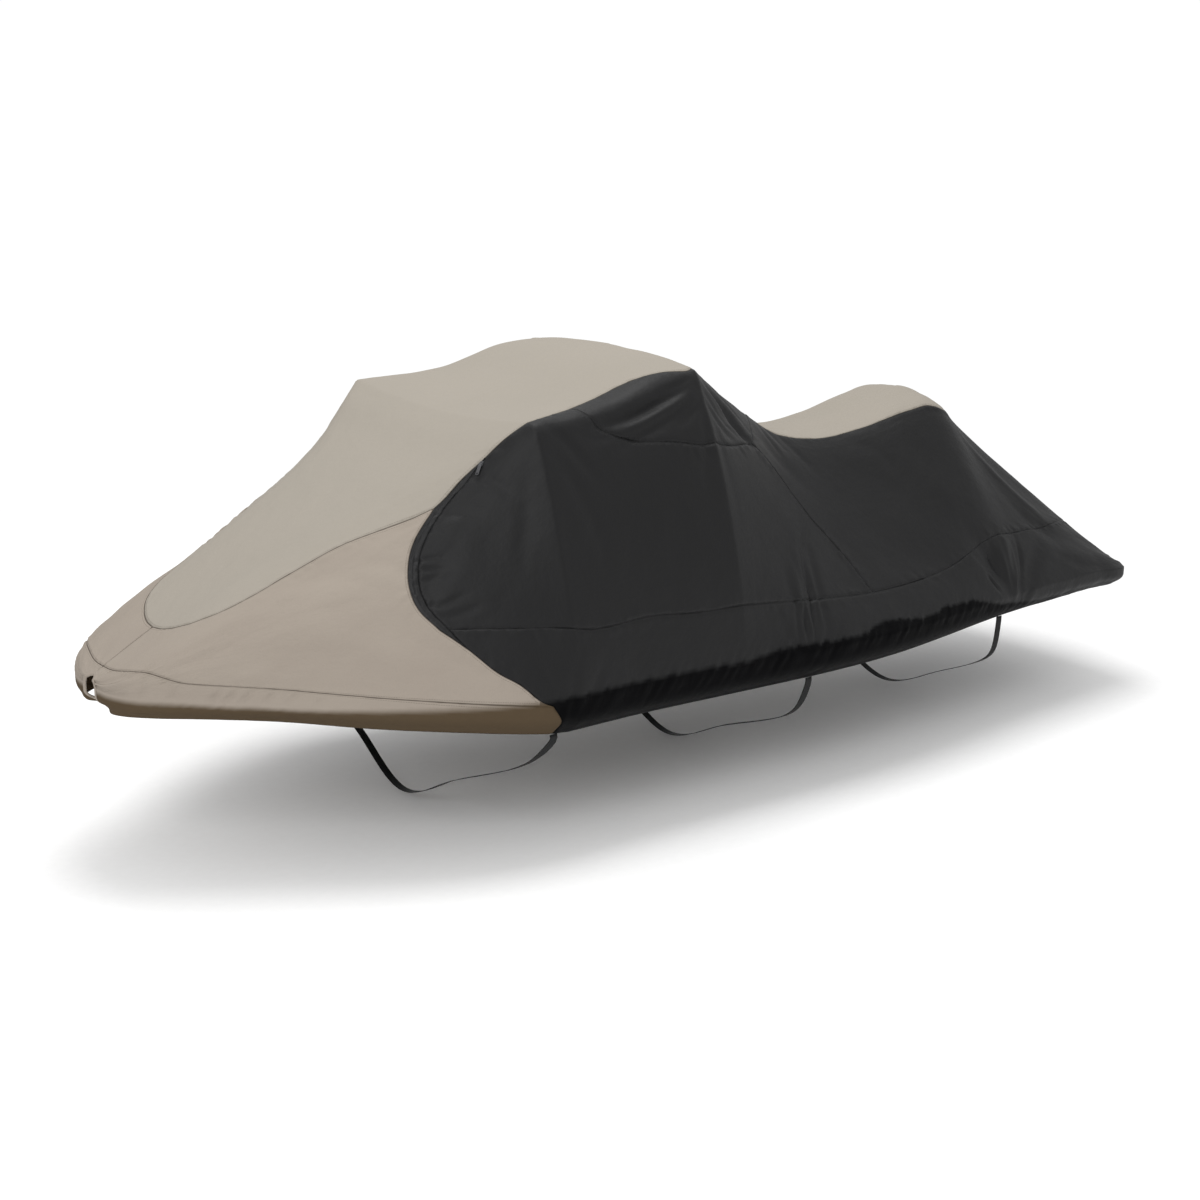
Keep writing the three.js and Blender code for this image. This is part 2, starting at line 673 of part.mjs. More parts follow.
// A closed piece of cloth over a flat outline, under the draped surface.
function clothOver(outline) {
  const { points, faces } = facesOver(outline, pointsInside(outline));
  const places = points.map((p) => [p.x, fromFlat(p.y)]);
  const surface = places.map(([run, level]) => foldedPoint(run, level));
  const outs = places.map(([run, level]) => foldedNormal(run, level));
  const edge = outline.length;
  const shifted = surface.map((p, k) => {
    if (k >= edge) return p.clone();
    const [before, after] = [surface[(k + edge - 1) % edge], surface[(k + 1) % edge]];
    return p.clone().add(insetShift(before, p, after, outs[k], INSET));
  });
  const positions = [0, -CLOTH].flatMap((height) =>
    shifted.flatMap((p, k) => p.clone().addScaledVector(outs[k], height).toArray()),
  );
  const under = points.length;
  const index = faces.flatMap(([a, b, c]) => [a, b, c, a + under, c + under, b + under]);
  for (let a = 0; a < edge; a += 1) {
    const b = (a + 1) % edge;
    index.push(b, a, a + under, b, a + under, b + under);
  }
  return solid(positions, index);
}

function solid(positions, index) {
  const geometry = new THREE.BufferGeometry();
  geometry.setAttribute("position", new THREE.Float32BufferAttribute(positions, 3));
  geometry.setIndex(index);
  return toSolid(geometry);
}

function toSolid(geometry) {
  const bare = geometry.clone();
  bare.deleteAttribute("normal");
  bare.deleteAttribute("uv");
  const merged = mergeVertices(bare, 1e-3);
  return new wasm.Manifold(
    new wasm.Mesh({
      numProp: 3,
      vertProperties: new Float32Array(merged.attributes.position.array),
      triVerts: new Uint32Array(merged.index.array),
    }),
  );
}

// Panels, trim and straps.

// The arch cut out of the nose, as a prism along the cover.
function notchPrism() {
  const { half, up, ahead, deep } = NOTCH;
  const arch = new THREE.Shape();
  arch.moveTo(half, 0);
  arch.lineTo(half, up);
  arch.absarc(0, up, half, 0, Math.PI, false);
  arch.lineTo(-half, 0);
  arch.closePath();
  const options = { depth: deep, bevelEnabled: false, curveSegments: 10 };
  const geometry = new THREE.ExtrudeGeometry(arch, options);
  geometry.rotateX(Math.PI / 2);
  geometry.rotateZ(Math.PI / 2);
  geometry.translate(-ahead, 0, 0);
  return toSolid(geometry);
}

function panelBody(row) {
  const body = clothOver(panelOutline(row));
  return row.name.startsWith("bow_skirt") ? body.subtract(notchPrism()) : body;
}

// A closed bar through stations, each with its point and two half measures as vectors.
function bar(stations) {
  const positions = stations.flatMap(({ point, high, wide }) =>
    [[1, 1], [1, -1], [-1, -1], [-1, 1]].flatMap(([u, v]) =>
      point.clone().addScaledVector(high, u).addScaledVector(wide, v).toArray(),
    ),
  );
  const index = [];
  for (let k = 0; k < stations.length - 1; k += 1) {
    for (let c = 0; c < 4; c += 1) {
      const [a, b] = [4 * k + c, 4 * k + ((c + 1) % 4)];
      index.push(a, b, a + 4, b, b + 4, a + 4);
    }
  }
  const last = 4 * (stations.length - 1);
  index.push(0, 2, 1, 0, 3, 2, last, last + 1, last + 2, last, last + 2, last + 3);
  return solid(positions, index);
}

// The run at which a level of the cloth crosses an arch of the notch's form.
const ARCH_REACH = 200;
function archRun(level, half) {
  const within = (run) => {
    const p = foldedPoint(run, level);
    return Math.hypot(p.y, Math.max(p.z - NOTCH.up, 0)) < half;
  };
  return lastWhere(within, ARCH_REACH);
}

// Binding folded over the rim of the notch.
function notchBinding() {
  const middle = NOTCH.half - BINDING.gap - BINDING.wide / 2;
  const port = BINDING.levels.map((level) => [archRun(level, middle), level]);
  const starboard = port.slice(0, -1).map(([run, level]) => [run, 6 - level]);
  const places = [...port, ...starboard.reverse()];
  const points = places.map(([run, level]) => foldedPoint(run, level));
  return bar(
    places.map(([run, level], k) => {
      const out = foldedNormal(run, level);
      const [before, after] = [points[k - 1] ?? points[k], points[k + 1] ?? points[k]];
      const ahead = after.clone().sub(before);
      return {
        point: points[k].clone().addScaledVector(out, -CLOTH / 2),
        high: out.clone().multiplyScalar(BINDING.thick / 2),
        wide: out.clone().cross(ahead).normalize().multiplyScalar(BINDING.wide / 2),
      };
    }),
  );
}

// The pull hangs flat against the cloth, a plate that widens to a round end.
function zipPull() {
  const { at, level } = MEETINGS.zip_head;
  const place = [runOf(at - PULL.back), level - PULL.level];
  const [point, out] = [foldedPoint(...place), foldedNormal(...place)];
  const down = new THREE.Vector3(0, 0, -1).addScaledVector(out, out.z).normalize();
  const across = down.clone().cross(out);
  const straight = PULL.long - PULL.wide;
  const plate = new THREE.Shape();
  plate.moveTo(-PULL.wide / 3, 0);
  plate.lineTo(-PULL.wide / 2, straight);
  plate.absarc(0, straight, PULL.wide / 2, Math.PI, 0, true);
  plate.lineTo(PULL.wide / 3, 0);
  plate.closePath();
  const options = { depth: PULL.thick, bevelEnabled: false, curveSegments: 5 };
  const geometry = new THREE.ExtrudeGeometry(plate, options);
  const foot = point.addScaledVector(out, PULL.lift).addScaledVector(down, -PULL.down);
  geometry.applyMatrix4(new THREE.Matrix4().makeBasis(across, down, out).setPosition(foot));
  return toSolid(geometry);
}

// A strap is one length of webbing from the port hem round below to the starboard hem.
function strap(row) {
  const run = runOf(row.at);
  const down = new THREE.Vector3(0, 0, -1);
  const start = foldedPoint(run, 0).addScaledVector(down, row.hang);
  const half = [
    start,
    start.clone().addScaledVector(down, STRAP.straight),
    ...[row.side, row.turn, row.run].map(([x, y, z]) => new THREE.Vector3(x, -y, z)),
  ];
  const mirrored = half.map((p) => new THREE.Vector3(p.x, -p.y, p.z)).reverse();
  const low = new THREE.Vector3(...row.low);
  const curve = new THREE.CatmullRomCurve3([...half, low, ...mirrored], false, "centripetal");
  const along = new THREE.Vector3(1, 0, 0);
  const stations = Array.from({ length: STRAP.steps + 1 }, (_, k) => {
    const ahead = curve.getTangentAt(k / STRAP.steps);
    const face = ahead.clone().cross(along).normalize();
    return {
      point: curve.getPointAt(k / STRAP.steps),
      high: face.clone().multiplyScalar(STRAP.thick / 2),
      wide: face.cross(ahead).normalize().multiplyScalar(STRAP.wide / 2),
    };
  });
  return bar(stations);
}

// The scene graph.

const finishes = {
  zip: new THREE.MeshStandardMaterial({ color: WEBBING, roughness: 0.5, metalness: 0 }),
  taupe: new THREE.MeshStandardMaterial({ color: TAUPE, roughness: 0.85, metalness: 0 }),
  black: new THREE.MeshStandardMaterial({ color: BLACK, roughness: 0.8, metalness: 0 }),
  webbing: new THREE.MeshStandardMaterial({ color: WEBBING, roughness: 0.7, metalness: 0 }),
};

function toMesh(name, body, finish) {
  const mesh = body.getMesh();
  const positions = new Float32Array(mesh.numVert * 3);
  for (let k = 0; k < mesh.numVert; k += 1) {
    positions.set(mesh.vertProperties.subarray(k * mesh.numProp, k * mesh.numProp + 3), k * 3);
  }
  const geometry = new THREE.BufferGeometry();
  geometry.setAttribute("position", new THREE.BufferAttribute(positions, 3));
  geometry.setIndex(new THREE.BufferAttribute(mesh.triVerts, 1));
  geometry.computeVertexNormals();
  const made = new THREE.Mesh(geometry, finishes[finish]);
  made.name = name;
  return made;
}

function buildCover() {
  const clothGroup = new THREE.Group();
  for (const row of PANELS) {
    const cut = row.mirrored
      ? [
          { ...row, name: `${row.name}_port` },
          { ...row, name: `${row.name}_starboard`, starboard: true },
        ]
      : [row];
    for (const piece of cut) clothGroup.add(toMesh(piece.name, panelBody(piece), piece.cloth));
  }
  const trimGroup = new THREE.Group();
  trimGroup.add(toMesh("notch_binding", notchBinding(), "taupe"));
  trimGroup.add(toMesh("zip_pull", zipPull(), "zip"));
  const strapGroup = new THREE.Group();
  for (const row of STRAPS) strapGroup.add(toMesh(row.name, strap(row), "webbing"));
  const cover = new THREE.Group();
  cover.add(clothGroup, trimGroup, strapGroup);
  cover.position.set(-HELD_AT.along, 0, -HELD_AT.up);
  return cover;
}

export default buildCover();
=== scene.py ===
import math

import bpy
import numpy as np
from mathutils import Matrix, Vector
from mathutils.geometry import delaunay_2d_cdt


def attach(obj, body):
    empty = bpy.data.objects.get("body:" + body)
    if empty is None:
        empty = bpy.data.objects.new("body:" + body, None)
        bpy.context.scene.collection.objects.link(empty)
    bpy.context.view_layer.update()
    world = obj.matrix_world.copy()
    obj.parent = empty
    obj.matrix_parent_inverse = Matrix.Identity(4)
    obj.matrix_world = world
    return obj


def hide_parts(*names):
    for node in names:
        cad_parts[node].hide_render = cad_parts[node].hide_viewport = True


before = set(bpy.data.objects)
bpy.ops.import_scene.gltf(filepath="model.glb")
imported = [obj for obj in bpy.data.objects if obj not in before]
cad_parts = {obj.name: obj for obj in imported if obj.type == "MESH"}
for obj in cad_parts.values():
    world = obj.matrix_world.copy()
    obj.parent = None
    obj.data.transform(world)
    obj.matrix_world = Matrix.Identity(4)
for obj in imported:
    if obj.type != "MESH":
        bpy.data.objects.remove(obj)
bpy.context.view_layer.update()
bpy.ops.object.select_all(action="DESELECT")

# Taupe cloth: the light panels of the hood and the seat, cut from solution-dyed polyester with a coated
# back. It is dull and even, and sewn with matching thread. These panels and those after them are cut from
# one drape, laid out in one pattern and given one relief, each worked out below.

# The drape: how the whole cover hangs, pulled over tent points and turned under a rail. Its sections are
# given from nose to stern in millimetres: at, hem, beam, rail, shoulder, height, top, bulge, tuck and
# ease of the shoulder.
HELD_AT = np.array([1560.0, 0.0, 848.0])
SECTIONS = [
    (0, 92, 0, 150, 0, 165, 168, 0, 55, 0.2),
    (8, 92, 100, 150, 75, 170, 172, 0, 55, 0.2),
    (35, 92, 165, 153, 130, 195, 190, 6, 55, 0.3),
    (90, 90, 215, 155, 168, 234, 222, 14, 55, 0.4),
    (175, 86, 268, 153, 195, 288, 270, 24, 56, 0.5),
    (350, 71, 365, 148, 230, 391, 373, 28, 60, 0.6),
    (540, 48, 485, 135, 276, 483, 479, 24, 62, 0.55),
    (740, 26, 580, 120, 332, 579, 578, 18, 60, 0.38),
    (880, 7, 622, 106, 378, 659, 650, 16, 60, 0.2),
    (945, -2, 632, 98, 405, 711, 690, 15, 60, 0.12),
    (1005, -7, 636, 92, 433, 753, 722, 20, 60, 0.05),
    (1260, -9, 620, 82, 400, 777, 778, 30, 60, 0.12),
    (1440, -12, 615, 79, 385, 822, 836, 36, 60, 0.1),
    (1560, -14, 612, 78, 376, 831, 856, 40, 60, 0.06),
    (1720, -15, 612, 78, 310, 742, 769, 20, 60, 0.2),
    (1880, -15, 612, 78, 240, 658, 674, 10, 60, 0.25),
    (2040, -15, 605, 78, 178, 584, 590, 0, 60, 0.2),
    (2210, -13, 590, 78, 168, 548, 553, 0, 60, 0.16),
    (2410, -8, 560, 78, 163, 560, 570, 10, 60, 0.16),
    (2580, -3, 530, 78, 158, 602, 619, 20, 60, 0.16),
    (2700, 0, 510, 78, 155, 608, 634, 20, 60, 0.14),
    (2790, 0, 495, 78, 160, 530, 549, 20, 60, 0.12),
    (2960, 0, 475, 78, 205, 382, 392, 20, 60, 0.12),
    (3160, 0, 450, 75, 265, 214, 220, 15, 60, 0.12),
    (3300, 0, 425, 60, 320, 94, 98, 6, 50, 0.2),
    (3350, 0, 370, 52, 300, 72, 76, 4, 40, 0.3),
    (3370, 0, 200, 48, 170, 66, 69, 0, 40, 0.3),
    (3372, 0, 0, 48, 0, 64, 67, 0, 40, 0.3),
]
PEAKS = (1005, 1560)
ROWS = np.array(SECTIONS, dtype=float)
AT, BEAM = ROWS[:, 0], ROWS[:, 2]
LAST = len(ROWS) - 1
RUN = np.concatenate([[0], np.cumsum(np.maximum(20, np.hypot(np.diff(AT), np.diff(BEAM))))])
UNDER = {"level": 0.5, "share": 0.45, "ease": 0.2}
HALVINGS = 40


def row_slopes():
    """Slopes of every column before and after each section, as they enter a smooth curve."""
    step = np.diff(RUN)
    slope = np.diff(ROWS, axis=0) / step[:, None]
    before, after = np.zeros_like(ROWS), np.zeros_like(ROWS)
    for i in range(1, LAST):
        if AT[i] in PEAKS:
            before[i], after[i] = slope[i - 1], slope[i]
        else:
            mean = slope[i] * step[i - 1] + slope[i - 1] * step[i]
            before[i] = after[i] = mean / (step[i - 1] + step[i])
    for column in (2, 4):
        before[0, column] = after[0, column] = slope[0, column]
        before[LAST, column] = after[LAST, column] = slope[-1, column]
    return before, after


SLOPE_BEFORE, SLOPE_AFTER = row_slopes()


def sections_at(run):
    """The sections at places along the run, on smooth curves through the rows."""
    run = np.clip(run, 0, RUN[-1])
    i = np.clip(np.searchsorted(RUN, run, side="right") - 1, 0, LAST - 1)
    span = (RUN[i + 1] - RUN[i])[:, None]
    u = ((run - RUN[i]) / (RUN[i + 1] - RUN[i]))[:, None]
    return (
        (2 * u**3 - 3 * u**2 + 1) * ROWS[i]
        + (u**3 - 2 * u**2 + u) * span * SLOPE_AFTER[i]
        + (3 * u**2 - 2 * u**3) * ROWS[i + 1]
        + (u**3 - u**2) * span * SLOPE_BEFORE[i + 1]
    )


def run_of(at):
    """The travel along the outline of the cover, seen from above, at a distance from the nose."""
    if at >= AT[-1]:
        return RUN[-1]
    low, high = 0.0, RUN[-1]
    for _ in range(HALVINGS):
        middle = (low + high) / 2
        if sections_at(np.array([middle]))[0, 0] < at:
            low = middle
        else:
            high = middle
    return low


def bow(a, b, c, t):
    return (1 - t) ** 2 * a + 2 * t * (1 - t) * b + t * t * c


def sharp_points(s, level):
    """Points on sections s at a level: 0 is the hem, 1 the rail, 2 the shoulder, 3 the centreline."""
    at, hem, beam, rail, shoulder, height, top, bulge, tuck, _ = s.T
    beam = np.maximum(beam, 0)
    side = np.where(level > 3, 1, -1)
    l = np.where(level > 3, 6 - level, level)
    opened = np.clip(beam / 150, 0, 1)
    opened = opened * opened * (3 - 2 * opened)
    under = tuck * np.maximum(1 - l / UNDER["level"], 0)
    below = UNDER["share"] * l / UNDER["level"]
    above = 1 - (1 - UNDER["share"]) * (1 - l) / (1 - UNDER["level"])
    skirt = (
        at + np.where(at < AT[-1] / 2, 1, -1) * (1 - opened) * under,
        side * (beam - opened * under),
        hem + np.where(l < UNDER["level"], below, above) * (rail - hem),
    )
    rise, narrowing = height - rail, beam - shoulder
    length = np.maximum(np.hypot(rise, narrowing), 1e-6)
    flank = (
        at,
        side * bow(beam, (beam + shoulder) / 2 + 2 * bulge * rise / length, shoulder, l - 1),
        bow(rail, (rail + height) / 2 + 2 * bulge * narrowing / length, height, l - 1),
    )
    out = 3 - l
    crown = (at, side * shoulder * out, top + (height - top) * out**2)
    low, high = (l <= 1)[:, None], (l > 2)[:, None]
    return np.where(low, np.stack(skirt, 1), np.where(high, np.stack(crown, 1), np.stack(flank, 1)))


def drape_points(run, level):
    s = sections_at(run)
    l = np.where(level > 3, 6 - level, level)
    below = np.minimum(UNDER["ease"], np.minimum(l, 1 - l))
    reach = np.where(l < 1, below, np.minimum(s[:, 9], 0.9 * (l - 1)))
    shares = ((-0.9, 0.1), (-0.54, 0.2), (-0.18, 0.2), (0.18, 0.2), (0.54, 0.2), (0.9, 0.1))
    return sum(share * sharp_points(s, level + shift * reach) for shift, share in shares)


def unit(v):
    return v / np.maximum(np.linalg.norm(v, axis=-1, keepdims=True), 1e-9)


def drape_normals(run, level):
    """Directions outwards. At the nose and stern the cloth runs straight across the centreline."""
    along = drape_points(np.minimum(run + 5, RUN[-1]), level) - drape_points(np.maximum(run - 5, 0), level)
    above, below = np.minimum(level + 0.02, 6), np.maximum(level - 0.02, 0)
    normal = unit(np.cross(along, drape_points(run, above) - drape_points(run, below)))
    ends = (run < 1) | (run > RUN[-1] - 1)
    if ends.any():
        l = np.minimum(level[ends], 6 - level[ends])
        rise = drape_points(run[ends], np.minimum(l + 0.3, 3))
        rise -= drape_points(run[ends], np.maximum(l - 0.3, 0))
        way = np.zeros_like(rise)
        way[:, 1] = np.where(run[ends] < 1, -1, 1)
        normal[ends] = unit(np.cross(way, rise))
    return normal


# The folds: where the cloth dips or stands up. A row is side, three places as from nose and level, deep
# and wide. Side is -1 for port, 1 for starboard and 0 for both. Deep is in millimetres, below zero for a
# ridge, and wide is half the width. Wrinkles at straps, seams and tent points follow the main folds.
FOLDS = [
    (-1, 1196, 1.93, 1320, 1.92, 1500, 1.95, 11, 13),
    (-1, 1010, 1.96, 1180, 1.985, 1420, 2.0, -7, 24),
    (-1, 1230, 1.865, 1370, 1.89, 1535, 1.92, -8, 20),
    (-1, 1240, 1.83, 1380, 1.85, 1530, 1.875, 6, 15),
    (-1, 1600, 1.99, 1700, 1.94, 1800, 1.84, 15, 17),
    (-1, 1640, 1.9, 1720, 1.88, 1790, 1.84, 9, 14),
    (-1, 1880, 1.95, 1960, 1.85, 2040, 1.72, 8, 34),
    (-1, 1978, 1.55, 1880, 1.35, 1835, 0.9, 9, 34),
    (-1, 1880, 1.5, 1820, 1.3, 1815, 0.9, -6, 30),
    (-1, 2597, 1.3, 2657, 1.14, 2698, 0.8, 12, 32),
    (-1, 2735, 1.32, 2700, 1.12, 2698, 0.8, -8, 26),
    (-1, 2900, 1.25, 2800, 1.08, 2710, 0.8, 8, 28),
    (-1, 3150, 1.35, 3000, 1.42, 2860, 1.48, 7, 32),
    (-1, 330, 2.08, 470, 1.98, 600, 1.88, 7, 36),
    (-1, 660, 1.5, 700, 1.6, 770, 1.7, 7, 30),
    (1, 1190, 1.93, 1330, 1.92, 1530, 1.96, 12, 30),
    (1, 1605, 1.97, 1705, 1.94, 1810, 1.88, 13, 28),
    (1, 1985, 1.55, 1870, 1.3, 1828, 0.9, 9, 34),
    (1, 2610, 1.32, 2665, 1.12, 2700, 0.8, 11, 32),
    (1, 2890, 1.3, 2790, 1.1, 2705, 0.8, 8, 30),
    (1, 320, 2.06, 450, 1.97, 590, 1.86, 6, 38),
    # under the front edge, fanning out from the second tent point
    (-1, 1400, 1.955, 1470, 1.965, 1535, 1.975, 5, 10),
    (-1, 1330, 1.9, 1440, 1.92, 1540, 1.95, 5, 9),
    (-1, 1380, 1.86, 1470, 1.885, 1545, 1.93, 5, 10),
    (-1, 1430, 1.82, 1500, 1.85, 1550, 1.9, 4, 11),
    (-1, 1150, 1.9, 1260, 1.87, 1400, 1.84, 4, 14),
    (-1, 1575, 1.93, 1640, 1.87, 1730, 1.83, 6, 10),
    (-1, 1572, 1.89, 1620, 1.83, 1690, 1.8, 5, 10),
    (-1, 1590, 1.97, 1660, 1.915, 1745, 1.86, -5, 9),
    (-1, 1640, 2.06, 1720, 2.04, 1800, 1.95, 5, 10),
    # beside the zip
    (0, 672, 1.74, 700, 1.73, 745, 1.7, 5, 8),
    (0, 670, 1.69, 700, 1.675, 745, 1.64, 5, 8),
    (0, 668, 1.62, 705, 1.62, 755, 1.62, 4.5, 9),
    (0, 680, 1.49, 715, 1.48, 770, 1.5, 5, 9),
    (0, 690, 1.43, 730, 1.42, 800, 1.43, 4, 10),
    (0, 760, 1.93, 800, 1.88, 850, 1.8, 4, 14),
    (0, 860, 2.0, 890, 1.92, 930, 1.8, 4, 14),
    # at the middle strap
    (-1, 1815, 1.24, 1800, 1.13, 1786, 1.03, 7, 6),
    (-1, 1858, 1.25, 1836, 1.13, 1812, 1.02, 7, 6),
    (-1, 1780, 1.22, 1768, 1.13, 1756, 1.04, 4, 7),
    (-1, 1885, 1.4, 1868, 1.2, 1838, 0.98, -6, 16),
    (0, 1930, 1.5, 1880, 1.2, 1846, 0.35, 4, 13),
    (0, 1870, 1.42, 1848, 1.15, 1838, 0.3, 4.5, 11),
    (0, 1815, 1.38, 1826, 1.15, 1832, 0.3, 4, 12),
    (0, 1760, 1.3, 1795, 1.1, 1824, 0.3, 3.5, 13),
    (-1, 1700, 1.12, 1760, 1.0, 1815, 0.6, 3, 14),
    # at the rear strap
    (-1, 2760, 1.22, 2742, 1.1, 2706, 0.86, -6, 8),
    (-1, 2800, 1.3, 2782, 1.14, 2740, 0.95, 6, 9),
    (-1, 2600, 1.13, 2620, 1.08, 2640, 1.03, 8, 6),
    (-1, 2640, 1.22, 2652, 1.17, 2668, 1.12, 8, 6),
    (0, 2560, 1.26, 2630, 1.12, 2690, 0.3, 4, 12),
    (0, 2655, 1.3, 2680, 1.1, 2698, 0.25, 5, 11),
    (0, 2712, 1.28, 2708, 1.08, 2704, 0.25, 5, 10),
    (0, 2770, 1.26, 2742, 1.06, 2712, 0.25, 4, 12),
    (-1, 2850, 1.12, 2780, 0.95, 2722, 0.4, 3, 12),
    # at the front strap and the foot of the front edge
    (0, 900, 1.16, 935, 1.0, 955, 0.3, 3.5, 13),
    (0, 1020, 1.2, 985, 1.02, 966, 0.3, 3.5, 13),
    (-1, 1090, 1.12, 1030, 0.98, 975, 0.4, 3, 14),
    # tucks under the skirt seam near the nose
    (0, 60, 1.6, 50, 1.2, 30, 0.9, 4, 10),
    (0, 120, 1.28, 104, 1.0, 96, 0.8, 4, 8),
    (0, 206, 1.1, 190, 1.0, 174, 0.86, 6, 7),
    (0, 238, 1.09, 220, 0.98, 200, 0.84, 6, 7),
    (0, 270, 1.07, 254, 0.97, 236, 0.82, 5.5, 7),
    (0, 318, 1.05, 302, 0.95, 286, 0.82, 5, 7),
    (0, 362, 1.03, 348, 0.93, 334, 0.8, 4.5, 7),
    (0, 420, 1.02, 408, 0.92, 398, 0.8, 3.5, 7),
    # pulls across the bow and along the hood seam
    (0, 240, 2.05, 330, 1.95, 430, 1.75, 3, 20),
    (0, 420, 2.0, 520, 1.85, 610, 1.6, 3, 22),
    (0, 560, 1.9, 640, 1.75, 700, 1.5, 3, 20),
    (0, 620, 1.35, 700, 1.22, 800, 1.1, 2.5, 20),
    # below the second top panel
    (0, 1960, 2.2, 1990, 2.08, 2040, 1.9, 4, 14),
    (0, 2000, 2.12, 2060, 1.98, 2120, 1.82, 3.5, 15),
    (0, 1925, 2.1, 1960, 1.98, 2000, 1.86, 4, 12),
    (0, 2300, 2.0, 2380, 1.9, 2440, 1.7, 2.5, 24),
    (0, 2560, 1.95, 2540, 1.75, 2480, 1.5, 2.5, 26),
    # at the tent points
    (0, 1030, 2.0, 1090, 1.9, 1160, 1.75, 4, 18),
    (0, 1045, 1.9, 1100, 1.7, 1150, 1.45, 3, 22),
    (0, 980, 1.9, 950, 1.75, 900, 1.5, 3, 22),
    (0, 1560, 1.95, 1540, 1.8, 1500, 1.6, 3.5, 18),
    (0, 1570, 1.93, 1590, 1.75, 1600, 1.5, 3, 20),
    (0, 1620, 2.3, 1700, 2.2, 1790, 2.05, 4, 18),
    (0, 1630, 2.6, 1720, 2.5, 1820, 2.35, 3, 22),
    (-1, 1290, 1.9, 1400, 1.92, 1500, 1.93, 3, 12),
    (-1, 1620, 1.93, 1700, 1.905, 1790, 1.87, 4, 12),
    # down the rear
    (0, 2760, 1.9, 2880, 1.72, 3020, 1.5, -5, 16),
    (0, 2800, 1.7, 2900, 1.5, 3040, 1.25, 3, 22),
    (0, 2980, 1.2, 3080, 1.1, 3200, 1.04, 3, 18),
]


def curve_points(rows, count):
    """Evenly spaced points on a smooth curve through rows, with a centripetal rule."""
    p = np.asarray(rows, dtype=float)
    p = np.vstack([2 * p[0] - p[1], p, 2 * p[-1] - p[-2]])
    t = np.linspace(0, 1, 41)[:, None]
    fine = []
    for i in range(1, len(p) - 2):
        d = [max(np.sum((p[i + k] - p[i + k - 1]) ** 2) ** 0.25, 1e-4) for k in (0, 1, 2)]
        before, here, after = [(p[i + k] - p[i + k - 1]) / d[k] for k in (0, 1, 2)]
        leave = (before - (p[i + 1] - p[i - 1]) / (d[0] + d[1]) + here) * d[1]
        arrive = (here - (p[i + 2] - p[i]) / (d[1] + d[2]) + after) * d[1]
        a = 2 * p[i] - 2 * p[i + 1] + leave + arrive
        b = -3 * p[i] + 3 * p[i + 1] - 2 * leave - arrive
        fine.append(a * t**3 + b * t**2 + leave * t + p[i])
    fine = np.vstack(fine)
    length = np.concatenate([[0], np.cumsum(np.linalg.norm(np.diff(fine, axis=0), axis=1))])
    places = np.linspace(0, length[-1], count + 1)
    return np.stack([np.interp(places, length, fine[:, k]) for k in range(fine.shape[1])], 1)


MIRRORED_SHARE = 0.8
FOLD_STEPS = 14


def fold_lines():
    lines = []
    for side, *places, deep, wide in FOLDS:
        for s in (-1, 1) if side == 0 else (side,):
            run = np.array([run_of(at) for at in places[::2]])
            level = np.array([l if s < 0 else 6 - l for l in places[1::2]])
            share = MIRRORED_SHARE if s > side else 1
            lines.append((curve_points(drape_points(run, level), FOLD_STEPS), deep * share, wide))
    return lines


FOLD_LINES = fold_lines()


def swell(distance, wide):
    return np.exp(-((distance / wide) ** 2))


def fold_depth(p):
    """How far the folds sink each point, deepest midway along a fold."""
    depth = np.zeros(len(p))
    for line, deep, wide in FOLD_LINES:
        near = np.all((p > line.min(0) - 3 * wide) & (p < line.max(0) + 3 * wide), axis=1)
        if not near.any():
            continue
        q = p[near]
        best = np.full(len(q), np.inf)
        place = np.zeros(len(q))
        for k in range(len(line) - 1):
            along = line[k + 1] - line[k]
            t = np.clip((q - line[k]) @ along / (along @ along), 0, 1)
            gap = np.linalg.norm(q - line[k] - t[:, None] * along, axis=1)
            closer = gap < best
            best = np.where(closer, gap, best)
            place = np.where(closer, (k + t) / (len(line) - 1), place)
        depth[near] += deep * swell(best, wide) * np.sin(np.pi * (0.08 + 0.84 * place))
    return depth


# The pattern: the panels drawn flat, with the seams that they share. Each seam runs between two
# meetings through places (from nose, level), with a third number where the starboard level is lower,
# as the light top reaches further down there. A minus means a seam followed backwards.
FLAT_WIDTHS = (0, 100, 740, 1120)
MEETINGS = {
    "nose_hem": (0, 0),
    "nose_top": (0, 3),
    "prow": (36, 3),
    "hood_tip": (169, 3),
    "front_hem": (956, 0),
    "front_skirt": (924, 0.88),
    "zip_foot": (738, 1.255),
    "front_lower": (689, 1.359),
    "zip_lower": (709, 1.355),
    "front_hood": (767, 1.979, 1.95),
    "zip_head": (903, 2.053, 1.94),
    "front_upper": (1160, 2.118, 1.94),
    "front_centre": (1612, 3),
    "side_peak": (1806, 1.845),
    "seat_front": (1930, 3),
    "seat_corner": (1952, 2.42),
    "seat_back": (2760, 3),
    "quarter_foot": (2105, 1.2),
    "tail_top": (3220, 3),
    "stern_top": (3372, 3),
    "stern_hem": (3372, 0),
}
